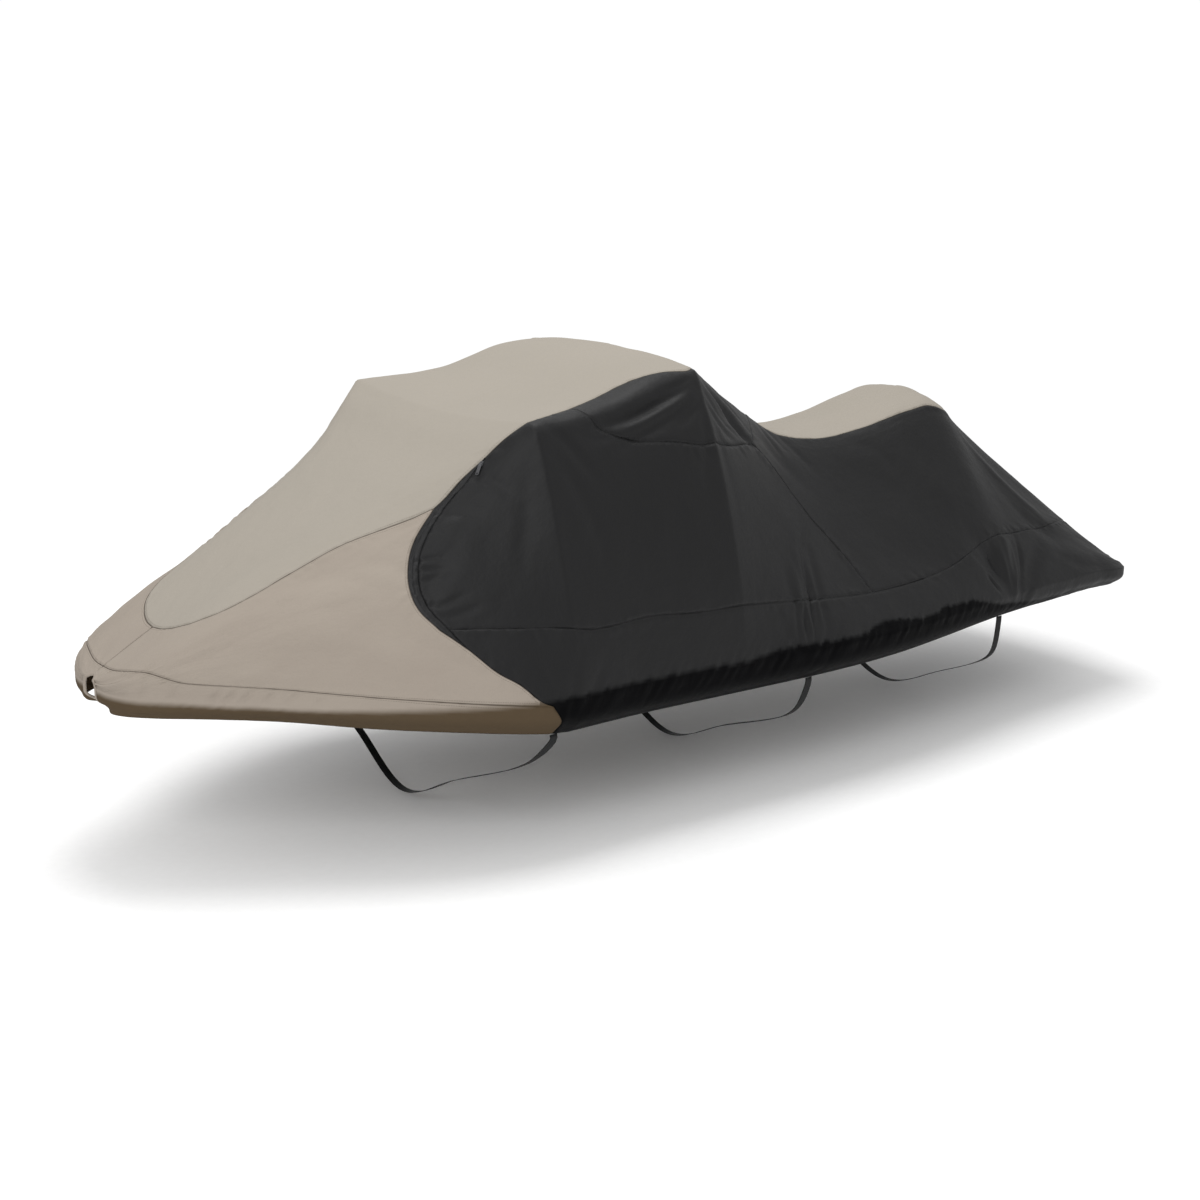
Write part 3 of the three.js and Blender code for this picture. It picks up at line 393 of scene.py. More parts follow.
SEAMS = {
    "nose": ("nose_hem", "nose_top", []),
    "prow": ("nose_top", "prow", []),
    "deck": ("prow", "hood_tip", []),
    "skirt": ("prow", "front_skirt", [
        (38, 2.6), (54, 2.1), (97, 1.48), (140, 1.25), (229, 1.13), (369, 1.05), (506, 1.02),
        (650, 1), (760, 0.94),
    ]),
    "hood": ("hood_tip", "front_hood", [
        (174, 2.78), (190, 2.55), (219, 2.34), (273, 2.18), (333, 2.13), (404, 2.135), (473, 2.132),
        (547, 2.12), (633, 2.063),
    ]),
    "front_edge_foot": ("front_hem", "front_skirt", [(950, 0.5)]),
    "front_edge_low": ("front_skirt", "zip_foot", [(891, 1.0), (846, 1.07), (797, 1.13)]),
    "front_edge_lower": ("zip_foot", "front_lower", []),
    "front_edge_side": (
        "front_lower", "front_hood", [(658, 1.475), (651, 1.6), (668, 1.744), (701, 1.86)],
    ),
    "front_edge_zip": ("front_hood", "zip_head", [(846, 2.039, 1.94)]),
    "front_edge_high": ("zip_head", "front_upper", [(960, 2.065, 1.94), (1030, 2.08, 1.94)]),
    "front_edge_top": ("front_upper", "front_centre", [
        (1240, 2.15, 1.94), (1340, 2.16, 1.94), (1463, 2.09, 1.94), (1549, 2.03, 1.97),
        (1592, 2.14, 2.12), (1606, 2.5),
    ]),
    "zip_low": ("zip_foot", "zip_lower", []),
    "zip_high": ("zip_lower", "zip_head", [
        (680, 1.475), (674, 1.6), (691, 1.732), (726, 1.842), (785, 1.942), (852, 2.008),
    ]),
    "lower_lap": ("front_lower", "zip_lower", []),
    "lower": ("zip_lower", "quarter_foot", [
        (809, 1.324), (942, 1.28), (1066, 1.24), (1259, 1.24), (1422, 1.21), (1796, 1.2),
    ]),
    "lower_rear": ("quarter_foot", "tail_top", [
        (2457, 1.22), (2620, 1.27), (2823, 1.34), (2990, 1.48), (3110, 1.72), (3190, 2.1),
        (3215, 2.6),
    ]),
    "upper": ("front_upper", "side_peak", [
        (1176, 2.0, 1.905), (1210, 1.92, 1.87), (1322, 1.83, 1.82), (1424, 1.782), (1530, 1.748),
        (1642, 1.765),
    ]),
    "cross": ("side_peak", "seat_corner", [(1848, 1.98), (1905, 2.23)]),
    "quarter": ("side_peak", "quarter_foot", [(1859, 1.8), (1904, 1.73), (1983, 1.58), (2060, 1.4)]),
    "seat_end": ("seat_front", "seat_corner", [(1934, 2.68)]),
    "seat_side": ("seat_corner", "seat_back", [
        (1975, 2.21, 2.18), (2020, 2.1, 2.05), (2090, 2.085, 1.98), (2228, 2.1, 1.95),
        (2348, 2.12, 1.95), (2412, 2.11, 1.95), (2520, 2.06, 1.95), (2640, 2.02, 1.96),
        (2700, 1.99, 1.99), (2732, 2.03), (2748, 2.3), (2756, 2.6),
    ]),
    "tail": ("tail_top", "stern_top", []),
    "stern": ("stern_top", "stern_hem", []),
    "hem_front": ("nose_hem", "front_hem", []),
    "hem_rear": ("front_hem", "stern_hem", []),
}
HEMS = ("hem_front", "hem_rear", "notch")
SEAM_STEP = 7.5


def to_flat(level):
    level = np.asarray(level, dtype=float)
    l = np.where(level > 3, 6 - level, level)
    width = np.interp(l, (0, 1, 2, 3), FLAT_WIDTHS)
    return np.where(level > 3, 2 * FLAT_WIDTHS[3] - width, width)


def from_flat(width):
    width = np.asarray(width, dtype=float)
    w = np.where(width > FLAT_WIDTHS[3], 2 * FLAT_WIDTHS[3] - width, width)
    level = np.interp(w, FLAT_WIDTHS, (0, 1, 2, 3))
    return np.where(width > FLAT_WIDTHS[3], 6 - level, level)


def mirror_flat(p):
    return np.stack([p[:, 0], 2 * FLAT_WIDTHS[3] - p[:, 1]], 1)


def seam_lines(starboard):
    """The points along every seam on one side of the cover, in the flat."""
    lines = {}
    for name, (start, end, by) in SEAMS.items():
        places = [MEETINGS[start], *by, MEETINGS[end]]
        rows = [(run_of(p[0]), float(to_flat(p[-1] if starboard else p[1]))) for p in places]
        length = np.linalg.norm(np.diff(curve_points(rows, 200), axis=0), axis=1).sum()
        points = curve_points(rows, max(2, round(length / SEAM_STEP)))
        lines[name] = mirror_flat(points) if starboard else points
    return lines


PORT_LINES, STARBOARD_LINES = seam_lines(False), seam_lines(True)


def seams_round(seams, lines):
    """The points along a round of seams, with whether the edge after each point is a hem."""
    points, hems = [], []
    for word in seams.split():
        name = word.lstrip("-")
        line = lines[name][::-1] if word.startswith("-") else lines[name]
        points.append(line[:-1])
        hems += [name in HEMS] * (len(line) - 1)
    return np.vstack([*points, line[-1:]]), hems


def outline_of(seams, across, starboard):
    """The outline of a panel, anticlockwise, and for each of its edges whether it is a hem."""
    points, hems = seams_round(seams, STARBOARD_LINES if starboard else PORT_LINES)
    if across:
        back, back_hems = seams_round(seams, STARBOARD_LINES)
        points = np.vstack([points, back[::-1][1:]])
        hems = hems + back_hems[::-1]
    points, hems = points[:-1], np.array(hems)
    keep = np.linalg.norm(np.roll(points, -1, axis=0) - points, axis=1) > 1e-6
    points, hems = points[keep], hems[keep]
    x, y = points.T
    if np.sum(x * np.roll(y, -1) - y * np.roll(x, -1)) < 0:
        points = points[::-1]
        hems = np.roll(hems[::-1], -1)
    return points, hems


def inside_outline(p, outline):
    odd = np.zeros(len(p), dtype=bool)
    for (ax, ay), (bx, by) in zip(outline, np.roll(outline, -1, axis=0)):
        if ay == by:
            continue
        crosses = (ay > p[:, 1]) != (by > p[:, 1])
        odd ^= crosses & (p[:, 0] < (bx - ax) * (p[:, 1] - ay) / (by - ay) + ax)
    return odd


def edge_gaps(p, outline, wanted):
    """Distance of each point from the wanted edges, and how far round the nearest place lies."""
    best = np.full(len(p), 1e6)
    place = np.zeros(len(p))
    run = 0.0
    for k in range(len(outline)):
        a, b = outline[k], outline[(k + 1) % len(outline)]
        along = b - a
        length = np.hypot(*along)
        if wanted[k] and length > 1e-6:
            t = np.clip((p - a) @ along / length**2, 0, 1)
            gap = np.hypot(*(p - a - t[:, None] * along).T)
            closer = gap < best
            best = np.where(closer, gap, best)
            place = np.where(closer, run + t * length, place)
        run += length
    return best, place


# The relief: seams pull a groove with puckers beside it, the elastic cord in the hem gathers the strip
# turned under the rail, and the panels hang a little slack. Uneven values come from a seeded lattice.
LATTICE = np.random.default_rng(11).random((256, 256)) * 2 - 1
FAR_SIDE = 40.0
CREASE = {"groove": 0.7, "half": 3.2, "ridge": 0.7, "beside": 9, "wide": 8.0}
PUCKER = {"high": 1.9, "beside": 8, "reach": 22.0, "every": 15.0, "fine": 8, "patch": 90}
GATHER = {"high": 2.0, "below": 15, "reach": 34.0, "every": 17.0, "fine": 8, "patch": 71, "lean": 0.8}
HEM_ROLL = {"high": 1.5, "beside": 8, "wide": 7.0}
SLACK = {"wide": 2.6, "fine": 0.9}
TEAR = {"wide": 0.9, "patch": 140, "fine": 0.45, "every": 14}
SHADE_LINE = [
    # from nose, then in millimetres across the cloth: from hem, blur, ragged. The strip turned under the
    # rail falls into shade there, smoothly at the bow and torn by gathers behind it.
    (0, 85, 20, 2),
    (100, 78, 20, 3),
    (200, 68, 18, 3),
    (364, 60, 16, 2),
    (500, 70, 16, 1),
    (640, 78, 18, 1),
    (790, 88, 18, 1),
    (900, 97, 12, 1),
    (1000, 112, 10, 9),
    (1500, 112, 10, 10),
    (2100, 130, 10, 14),
    (2500, 122, 10, 14),
    (2640, 82, 8, 8),
    (2850, 50, 10, 5),
    (3372, 40, 12, 4),
]


def uneven(x, y):
    """A smooth uneven value from -1 to 1, which changes over about one unit of x and of y."""
    i, j = np.floor(x).astype(int), np.floor(y).astype(int)
    u, v = x - i, y - j
    u, v = u * u * (3 - 2 * u), v * v * (3 - 2 * v)
    corner = [LATTICE[(i + a) % 256, (j + b) % 256] for a, b in ((0, 0), (1, 0), (0, 1), (1, 1))]
    return (corner[0] * (1 - u) + corner[1] * u) * (1 - v) + (corner[2] * (1 - u) + corner[3] * u) * v


def shade_line(run):
    """The height of the shade's upper edge across the cloth, its blur and its raggedness."""
    rows = np.array(SHADE_LINE)
    at = sections_at(run)[:, 0]
    return [np.interp(at, rows[:, 0], rows[:, column]) for column in (1, 2, 3)]


def cloth_relief(run, width, level, seam_gap, seam_place, hem_gap):
    """How far the sewn cloth stands off its smooth drape."""
    l = np.minimum(level, 6 - level)
    far = np.where(level > 3, FAR_SIDE, 0.0)
    ridge = CREASE["ridge"] * swell(seam_gap - CREASE["beside"], CREASE["wide"])
    rise = -CREASE["groove"] * swell(seam_gap, CREASE["half"]) + ridge
    lean = seam_place + 0.6 * seam_gap
    pucker = uneven(lean / PUCKER["every"] + far, seam_gap / 40)
    pucker += 0.4 * uneven(lean / PUCKER["fine"] + 9, seam_gap / 30)
    strength = np.clip(0.5 + 0.9 * uneven(seam_place / PUCKER["patch"] + 3.3, far), 0.12, 1.3)
    beside = swell(seam_gap - PUCKER["beside"], PUCKER["reach"]) * np.clip(seam_gap / 5, 0, 1)
    rise += PUCKER["high"] * strength * pucker * beside
    up = np.minimum(width, 2 * FLAT_WIDTHS[3] - width)
    lean = run - GATHER["lean"] * up
    gather = uneven(lean / GATHER["every"] + far, l * 1.3)
    gather += 0.6 * uneven(lean / GATHER["fine"] + 5, l * 2.1)
    gather += 0.9 * uneven(run / GATHER["patch"] + far, l + 2)
    turn, _, ragged = shade_line(run)
    near_turn = swell(up - turn + GATHER["below"], GATHER["reach"]) * (0.3 + ragged / 15)
    rise += GATHER["high"] * gather * near_turn
    roll = swell(hem_gap - HEM_ROLL["beside"], HEM_ROLL["wide"]) * np.clip(hem_gap / 4, 0, 1)
    rise += HEM_ROLL["high"] * roll
    slack = SLACK["wide"] * uneven(run / 165 + far, width / 120 + run / 400)
    slack += SLACK["fine"] * uneven(run / 52 - width / 160, width / 61 + far)
    rise += slack * np.clip((l - 0.9) / 0.3, 0, 1) * np.clip(seam_gap / 30, 0, 1)
    return rise


SHEET_STEP = 7.5
EDGE_LAP = 0.1
CLOTH_THICK = 1.2


def place_cloth(flat, outline, hems, relief=None):
    """Cover points, outward directions and the values that the materials read, over a flat pattern."""
    run, width = flat[:, 0], flat[:, 1]
    level = from_flat(width)
    p = drape_points(run, level)
    normal = drape_normals(run, level)
    seam_gap, seam_place = edge_gaps(flat, outline, ~hems)
    hem_gap = edge_gaps(flat, outline, hems)[0] if hems.any() else np.full(len(flat), 1e6)
    rise = cloth_relief(run, width, level, seam_gap, seam_place, hem_gap) - fold_depth(p)
    if relief is not None:
        rise += relief(flat)
    # Painted shade: the strip turned under the rail is darkened in its colour up to the shade line, which
    # has a ragged edge.
    turn, blur, ragged = shade_line(run)
    up = np.minimum(width, 2 * FLAT_WIDTHS[3] - width)
    tear = TEAR["wide"] * uneven(run / TEAR["patch"] + level, up / 300)
    tear += TEAR["fine"] * uneven((run - up) / TEAR["every"] + 7, up / 60)
    shade = np.clip((turn + ragged * tear - up) / blur + 0.5, 0, 1)
    values = {"seam_gap": seam_gap / 1000, "seam_place": seam_place / 1000, "shade": shade}
    return p + normal * rise[:, None], normal, values


def sheet_mesh(name, seams, across=False, starboard=False, step=SHEET_STEP, relief=None):
    """One panel as a thin closed sheet, with its flat pattern as its UV map."""
    outline, hems = outline_of(seams, across, starboard)
    low, high = outline.min(0), outline.max(0)
    rows = []
    for j, y in enumerate(np.arange(low[1] + step / 2, high[1], step * 0.87)):
        x = np.arange(low[0] + step * (0.25 + 0.5 * (j % 2)), high[0], step)
        rows.append(np.stack([x, np.full(len(x), y)], 1))
    grid = np.vstack(rows)
    grid = grid[inside_outline(grid, outline)]
    grid = grid[edge_gaps(grid, outline, np.ones(len(outline), dtype=bool))[0] > 0.55 * step]
    points = [Vector(q) for q in np.vstack([outline, grid])]
    made = delaunay_2d_cdt(points, [], [list(range(len(outline)))], 1, 1e-7)
    flat = np.array([tuple(v) for v in made[0]])
    faces = [f for f in made[2] if len(f) == 3]
    p, normal, values = place_cloth(flat, outline, hems, relief)
    p = lap_edges(p, normal, faces, EDGE_LAP)
    piece = mesh_piece(name, p, faces, flat, values)
    area = sum(face.area for face in piece.data.polygons)
    thicken(piece, CLOTH_THICK)
    rim = drape_points(outline[:, 0], from_flat(outline[:, 1])) / 1000
    return piece, area, np.linalg.norm(rim - np.roll(rim, 1, axis=0), axis=1).sum()


def mesh_piece(name, points, faces, flat, values):
    """A smooth mesh of cover points in millimetres, with flat as its UV map and values on its points."""
    mesh = bpy.data.meshes.new(name)
    mesh.from_pydata(((points - HELD_AT) / 1000).tolist(), [], faces)
    mesh.update()
    piece = bpy.data.objects.new(name, mesh)
    bpy.context.scene.collection.objects.link(piece)
    uv = mesh.uv_layers.new(name="pattern")
    corners = np.zeros(len(mesh.loops), dtype=np.int32)
    mesh.loops.foreach_get("vertex_index", corners)
    uv.data.foreach_set("uv", (np.asarray(flat)[corners] / 1000).astype(np.float32).ravel())
    for key, value in values.items():
        layer = mesh.attributes.new(key, "FLOAT", "POINT")
        layer.data.foreach_set("value", np.minimum(value, 100).astype(np.float32))
    mesh.polygons.foreach_set("use_smooth", [True] * len(mesh.polygons))
    return piece


def lap_edges(p, normal, faces, lap):
    """Moves the open edge of a sheet out a little, so that two sewn panels meet without a gap."""
    edges = {(f[i], f[(i + 1) % 3]) for f in faces for i in range(3)}
    shift = np.zeros_like(p)
    for a, b in edges:
        if (b, a) not in edges:
            outward = unit(np.cross(p[b] - p[a], normal[a]))
            shift[a] += outward
            shift[b] += outward
    return p + unit(shift) * lap


def select_only(piece):
    bpy.ops.object.select_all(action="DESELECT")
    piece.select_set(True)
    bpy.context.view_layer.objects.active = piece


def thicken(piece, thickness):
    select_only(piece)
    solid = piece.modifiers.new("thickness", "SOLIDIFY")
    solid.thickness = thickness / 1000
    solid.offset = -1
    solid.use_rim = True
    bpy.ops.object.modifier_apply(modifier=solid.name)


def linear(hex_colour):
    """An sRGB hex colour as the linear colour that a shader takes."""
    value = [int(hex_colour[i : i + 2], 16) / 255 for i in (1, 3, 5)]
    return tuple(c / 12.92 if c <= 0.04045 else ((c + 0.055) / 1.055) ** 2.4 for c in value) + (1.0,)


def add_node(tree, kind, inputs=None, **settings):
    """Adds a shader node, sets its settings, and sets or links its inputs."""
    node = tree.nodes.new(kind)
    for key, value in settings.items():
        setattr(node, key, value)
    for key, value in (inputs or {}).items():
        if isinstance(value, bpy.types.NodeSocket):
            tree.links.new(value, node.inputs[key])
        else:
            node.inputs[key].default_value = value
    return node


def new_material(name, roughness, specular):
    material = bpy.data.materials.new(name)
    material.use_nodes = True
    shader = material.node_tree.nodes["Principled BSDF"]
    shader.inputs["Roughness"].default_value = roughness
    shader.inputs["IOR"].default_value = 1.5
    shader.inputs["Specular IOR Level"].default_value = specular
    return material, material.node_tree, shader


def mix_colour(tree, share, first, second, blend="MIX"):
    inputs = {0: share, 6: first, 7: second}
    return add_node(tree, "ShaderNodeMix", inputs, data_type="RGBA", blend_type=blend).outputs[2]


def work_out(tree, operation, *values):
    return add_node(tree, "ShaderNodeMath", dict(enumerate(values)), operation=operation).outputs[0]


def ramp(tree, value, start, end, first, last):
    """A value that goes from first to last while the one that it reads goes from start to end."""
    inputs = {"Value": value, "From Min": start, "From Max": end, "To Min": first, "To Max": last}
    return add_node(tree, "ShaderNodeMapRange", inputs).outputs["Result"]


def noise(tree, place, scale, detail, roughness=0.5):
    inputs = {"Vector": place, "Scale": scale, "Detail": detail, "Roughness": roughness}
    return add_node(tree, "ShaderNodeTexNoise", inputs).outputs["Fac"]


def thread_waves(tree, rows, distortion):
    """Two sets of threads across each other, as rows of direction and scale, and the UV map they lie in."""
    pattern = add_node(tree, "ShaderNodeUVMap", uv_map="pattern").outputs["UV"]
    waves = []
    for direction, scale in rows:
        inputs = {"Vector": pattern, "Scale": scale, "Distortion": distortion, "Detail": 1.0}
        wave = add_node(tree, "ShaderNodeTexWave", inputs, bands_direction=direction)
        waves.append(wave.outputs["Fac"])
    return work_out(tree, "MULTIPLY", *waves), pattern


def finish_surface(tree, shader, tone, reliefs):
    """Gives a shader its colour, and its relief from rows of height, strength and distance."""
    tree.links.new(tone, shader.inputs["Base Color"])
    normal = {}
    for height, strength, distance in reliefs:
        inputs = {"Height": height, "Strength": strength, "Distance": distance, **normal}
        normal = {"Normal": add_node(tree, "ShaderNodeBump", inputs).outputs["Normal"]}
    tree.links.new(normal["Normal"], shader.inputs["Normal"])


THREAD_SCALE = 130.0
JOINT = {"from": 0.0009, "to": 0.0024, "dark": 0.85}
STITCH = {"off": 0.007, "from": 0.0004, "to": 0.0011, "dark": 0.5, "every": 0.006, "long": 0.0042}
SHEEN_IN_SHADE = 0.2


def woven_polyester(name, colour, drift_colour, seam_colour, shade_colour, roughness, specular):
    """Coated plain-weave polyester. Real threads lie 0.4 mm apart and are drawn at 2.4 mm, so that they
    show as a fine grain. Lock stitching runs 7 mm from every seam, in thread of nearly the same tone."""
    material, tree, shader = new_material(name, roughness, specular)
    weave, pattern = thread_waves(tree, (("X", THREAD_SCALE), ("Y", THREAD_SCALE)), 0.8)
    crumple = noise(tree, pattern, 24.0, 5.0, 0.62)
    drift = noise(tree, pattern, 2.6, 3.0, 0.55)
    tone = mix_colour(tree, drift, linear(colour), linear(drift_colour))
    tone = mix_colour(tree, 1.0, tone, ramp(tree, weave, 0.0, 1.0, 0.95, 1.04), "MULTIPLY")
    gap, place, shade = (
        add_node(tree, "ShaderNodeAttribute", attribute_name=key).outputs["Fac"]
        for key in ("seam_gap", "seam_place", "shade")
    )
    joint = ramp(tree, gap, JOINT["from"], JOINT["to"], JOINT["dark"], 0.0)
    tone = mix_colour(tree, joint, tone, linear(seam_colour))
    off_line = work_out(tree, "ABSOLUTE", work_out(tree, "SUBTRACT", gap, STITCH["off"]))
    on_line = ramp(tree, off_line, STITCH["from"], STITCH["to"], STITCH["dark"], 0.0)
    dash = work_out(tree, "LESS_THAN", work_out(tree, "MODULO", place, STITCH["every"]), STITCH["long"])
    tone = mix_colour(tree, work_out(tree, "MULTIPLY", on_line, dash), tone, linear(seam_colour))
    # Painted shade: where the shade value is high, the tone goes to the shade colour and the specular drops,
    # because the strip turned under the rail lies in shadow.
    tone = mix_colour(tree, shade, tone, linear(shade_colour))
    sheen = ramp(tree, shade, 0.0, 1.0, specular, specular * SHEEN_IN_SHADE)
    tree.links.new(sheen, shader.inputs["Specular IOR Level"])
    finish_surface(tree, shader, tone, ((weave, 0.2, 0.0005), (crumple, 0.4, 0.006)))
    return material


def stand_for(piece, node):
    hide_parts(node)
    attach(piece, "root")


def sew_panel(node, material, seams, across=False, starboard=False, step=SHEET_STEP, relief=None):
    """One panel, sewn from its seams and given its material, standing in for its part."""
    piece, area, rim = sheet_mesh(f"{node}_cloth", seams, across, starboard, step, relief)
    piece.data.materials.append(material)
    stand_for(piece, node)


# The fourth colour of each cloth is the painted shade of the strip turned under the rail.
taupe_cloth = woven_polyester(
    "taupe woven polyester", "#958F85", "#9A9389", "#554D44", "#4F4334", 0.85, 0.2
)
sew_panel("hood_top", taupe_cloth, "hood front_edge_zip front_edge_high front_edge_top", across=True)
sew_panel("seat_top", taupe_cloth, "seat_end seat_side", across=True)

# Bow sides: two panels of the same cloth in a slightly darker, browner tone, between the hood and the
# skirts.
# They meet on the centreline in a short seam, and are pulled back towards the straps.
bow_cloth = woven_polyester(
    "brown taupe woven polyester", "#8F857B", "#9B9287", "#50473E", "#4F4334", 0.85, 0.2
)
BOW_SIDE = "skirt front_edge_low front_edge_lower front_edge_side -hood -deck"
sew_panel("bow_side_port", bow_cloth, BOW_SIDE)
sew_panel("bow_side_starboard", bow_cloth, BOW_SIDE, starboard=True)

# Bow skirts: the strips that go down round the nose and under the rail, with an elastic cord in the
# hem. They meet on the centreline above an arched notch.
NOTCH_HALF, NOTCH_UP = 33.0, 143.0


def arch_runs(level):
    """The runs at which levels of the cloth cross the notch's arch."""
    low, high = np.zeros(len(level)), np.full(len(level), 200.0)
    for _ in range(HALVINGS):
        middle = (low + high) / 2
        p = drape_points(middle, level)
        inside = np.hypot(p[:, 1], np.maximum(p[:, 2] - NOTCH_UP, 0)) < NOTCH_HALF
        low, high = np.where(inside, middle, low), np.where(inside, high, middle)
    return low


def cut_notch(lines, starboard):
    """Puts the arch in among the seams of one side, and shortens the hem and the prow seam to it."""
    levels = np.concatenate([np.linspace(0, 1, 13), np.linspace(1.06, 3, 40)])
    arch = np.stack([arch_runs(levels), to_flat(levels)], 1)
    hem, prow = lines["hem_front"], lines["prow"]
    if starboard:
        arch = mirror_flat(arch)
    lines["notch"] = arch
    lines["hem_front"] = np.vstack([arch[:1], hem[hem[:, 0] > arch[0, 0] + 4]])
    lines["prow"] = np.vstack([arch[-1:], prow[prow[:, 0] > arch[-1, 0] + 3]])


cut_notch(PORT_LINES, False)
cut_notch(STARBOARD_LINES, True)
BOW_SKIRT = "hem_front front_edge_foot -skirt -prow -notch"
sew_panel("bow_skirt_port", bow_cloth, BOW_SKIRT, step=6.5)
sew_panel("bow_skirt_starboard", bow_cloth, BOW_SKIRT, starboard=True, step=6.5)

# Notch binding: a strip of the same cloth folded over the rim of the arched notch and sewn through, so
# that the raw edges of both skirts and the end of their seam are covered.
OFF_SEAM = 0.02
NOTCH_SECTION = [
    # out of the notch's rim, off the cloth
    (5.5, 0.9), (2.0, 1.5), (-1.5, 1.7), (-4.0, 0.9), (-5.0, -0.8), (-4.0, -2.5), (-1.5, -3.2),
    (2.0, -3.0), (5.5, -2.6),
]


def make_strip(name, node, points, material, thickness, values):
    """A thin closed strip over rows of points across it, with its widths and lengths as its UV map."""
    grid = np.arange(points[..., 0].size).reshape(points.shape[:2])
    corners = [grid[:-1, :-1], grid[:-1, 1:], grid[1:, 1:], grid[1:, :-1]]
    faces = np.stack(corners, -1).reshape(-1, 4).tolist()
    across = np.linalg.norm(np.diff(points, axis=1), axis=2).mean(0)
    along = np.linalg.norm(np.diff(points, axis=0), axis=2).mean(1)
    u, v = (np.concatenate([[0], np.cumsum(step)]) for step in (across, along))
    flat = np.stack(np.meshgrid(u, v), -1).reshape(-1, 2)
    piece = mesh_piece(name, points.reshape(-1, 3), faces, flat, values)
    piece.data.materials.append(material)
    thicken(piece, thickness)
    stand_for(piece, node)


def bind_notch():
    levels = np.concatenate([np.linspace(0.02, 1, 16), np.linspace(1.05, 3, 34)])
    run = arch_runs(levels)
    run, levels = np.concatenate([run, run[-2::-1]]), np.concatenate([levels, 6 - levels[-2::-1]])
    rim, out = drape_points(run, levels), drape_normals(run, levels)
    ahead = unit(np.gradient(rim, axis=0))
    away = unit(np.cross(ahead, out))
    lumps = 0.25 * uneven(np.arange(len(rim)) / 2.3, 0.5 + np.zeros(len(rim)))[:, None]
    points = np.stack([rim + away * a + out * (h + lumps) for a, h in NOTCH_SECTION], axis=1)
    values = {"seam_gap": np.full(points[..., 0].size, OFF_SEAM)}
    make_strip("notch_binding_cloth", "notch_binding", points, bow_cloth, 1.0, values)


bind_notch()

# Black cloth: the side, rear and lower panels, of the same polyester dyed black. It is duller than the
# taupe, goes grey where light grazes the folds, and is sewn with black thread.
black_cloth = woven_polyester(
    "black woven polyester", "#0C0C0D", "#121213", "#080809", "#010102", 0.55, 0.26
)
SIDE_LOWER = "hem_rear -stern -tail -lower_rear -lower"
SIDE_UPPER = "lower -quarter -upper -front_edge_high"
BLACK_PANELS = [
    # node, seams, across, starboard
    ("side_lower_port", f"{SIDE_LOWER} -zip_low -front_edge_low -front_edge_foot", False, False),
    (
        "side_lower_starboard",
        f"{SIDE_LOWER} -lower_lap -front_edge_lower -front_edge_low -front_edge_foot",
        False,
        True,
    ),
    ("side_upper_port", f"{SIDE_UPPER} -zip_high", False, False),
    ("side_upper_starboard", f"lower_lap {SIDE_UPPER} -front_edge_zip -front_edge_side", False, True),
    ("cross_band", "-front_edge_top upper cross -seat_end", True, False),
    ("rear_quarters", "-seat_side -cross quarter lower_rear", True, False),
]
for node, seams, across, starboard in BLACK_PANELS:
    sew_panel(node, black_cloth, seams, across, starboard)

# Zip: a coil zip sewn between the hood and the port side, which opens the cover at that side. Its tape
# is black polyester with the coil near the front edge, shown closed.
ZIP_LOOP = "zip_low zip_high -front_edge_zip -front_edge_side -front_edge_lower"
ZIP_STATIONS = 120
ZIP_COIL = {"half": 3.6, "high": 2.4, "every": 5.0, "sunk": 1.0, "tape": 7, "share": 0.64}


def zip_middle_line():
    edges = []
    for names in (("zip_low", "zip_high"), ("front_edge_lower", "front_edge_side", "front_edge_zip")):
        line = np.vstack([PORT_LINES[name] for name in names])
        keep = np.concatenate([[True], np.linalg.norm(np.diff(line, axis=0), axis=1) > 1e-6])
        edges.append(curve_points(line[keep], ZIP_STATIONS))
    return edges[0] * (1 - ZIP_COIL["share"]) + edges[1] * ZIP_COIL["share"]


ZIP_MIDDLE = zip_middle_line()


def coil_relief(flat):
    """The coil stands up along the middle of the tape, with its turns 5 mm apart where real ones are 1.5."""
    wanted = np.arange(len(ZIP_MIDDLE)) < len(ZIP_MIDDLE) - 1
    gap, place = edge_gaps(flat, ZIP_MIDDLE, wanted)
    coil = np.clip(1 - (gap / ZIP_COIL["half"]) ** 2, 0, 1)
    turns = 0.75 + 0.25 * np.sin(place * 2 * np.pi / ZIP_COIL["every"])
    return ZIP_COIL["high"] * coil * turns - ZIP_COIL["sunk"] * swell(gap, ZIP_COIL["tape"])


zip_cloth = woven_polyester("black zip tape", "#0D0D0E", "#131314", "#080809", "#010102", 0.5, 0.3)
sew_panel("zip_tape_port", zip_cloth, ZIP_LOOP, step=2.6, relief=coil_relief)

# Zip slider and pull: a small die-cast slider at the upper end of the zip, and a flat pull with a hole
# near its round end, hooked through the slider's bridge. Both are painted dark grey, worn at the edges.
def dark_paint():
    material, tree, shader = new_material("dark painted zinc", 0.42, 0.5)
    shader.inputs["Metallic"].default_value = 0.35
    speck = noise(tree, add_node(tree, "ShaderNodeTexCoord").outputs["Object"], 900.0, 3.0)
    worn = ramp(tree, speck, 0.5, 0.75, 0.0, 1.0)
    tone = mix_colour(tree, worn, linear("#3E3E40"), linear("#66666A"))
    finish_surface(tree, shader, tone, ((speck, 0.3, 0.0002),))
    return material


PULL = {
    "long": 0.034, "wide": 0.009, "thick": 0.0022, "hole": 0.0022, "past": 0.001, "up": 0.0055,
    "level": 0.02, "back": 12,
}
SLIDER = {"long": 0.013, "wide": 0.0095, "plate": 0.0012, "bridge": 0.0026}
SMOOTH_UNDER = math.radians(40)


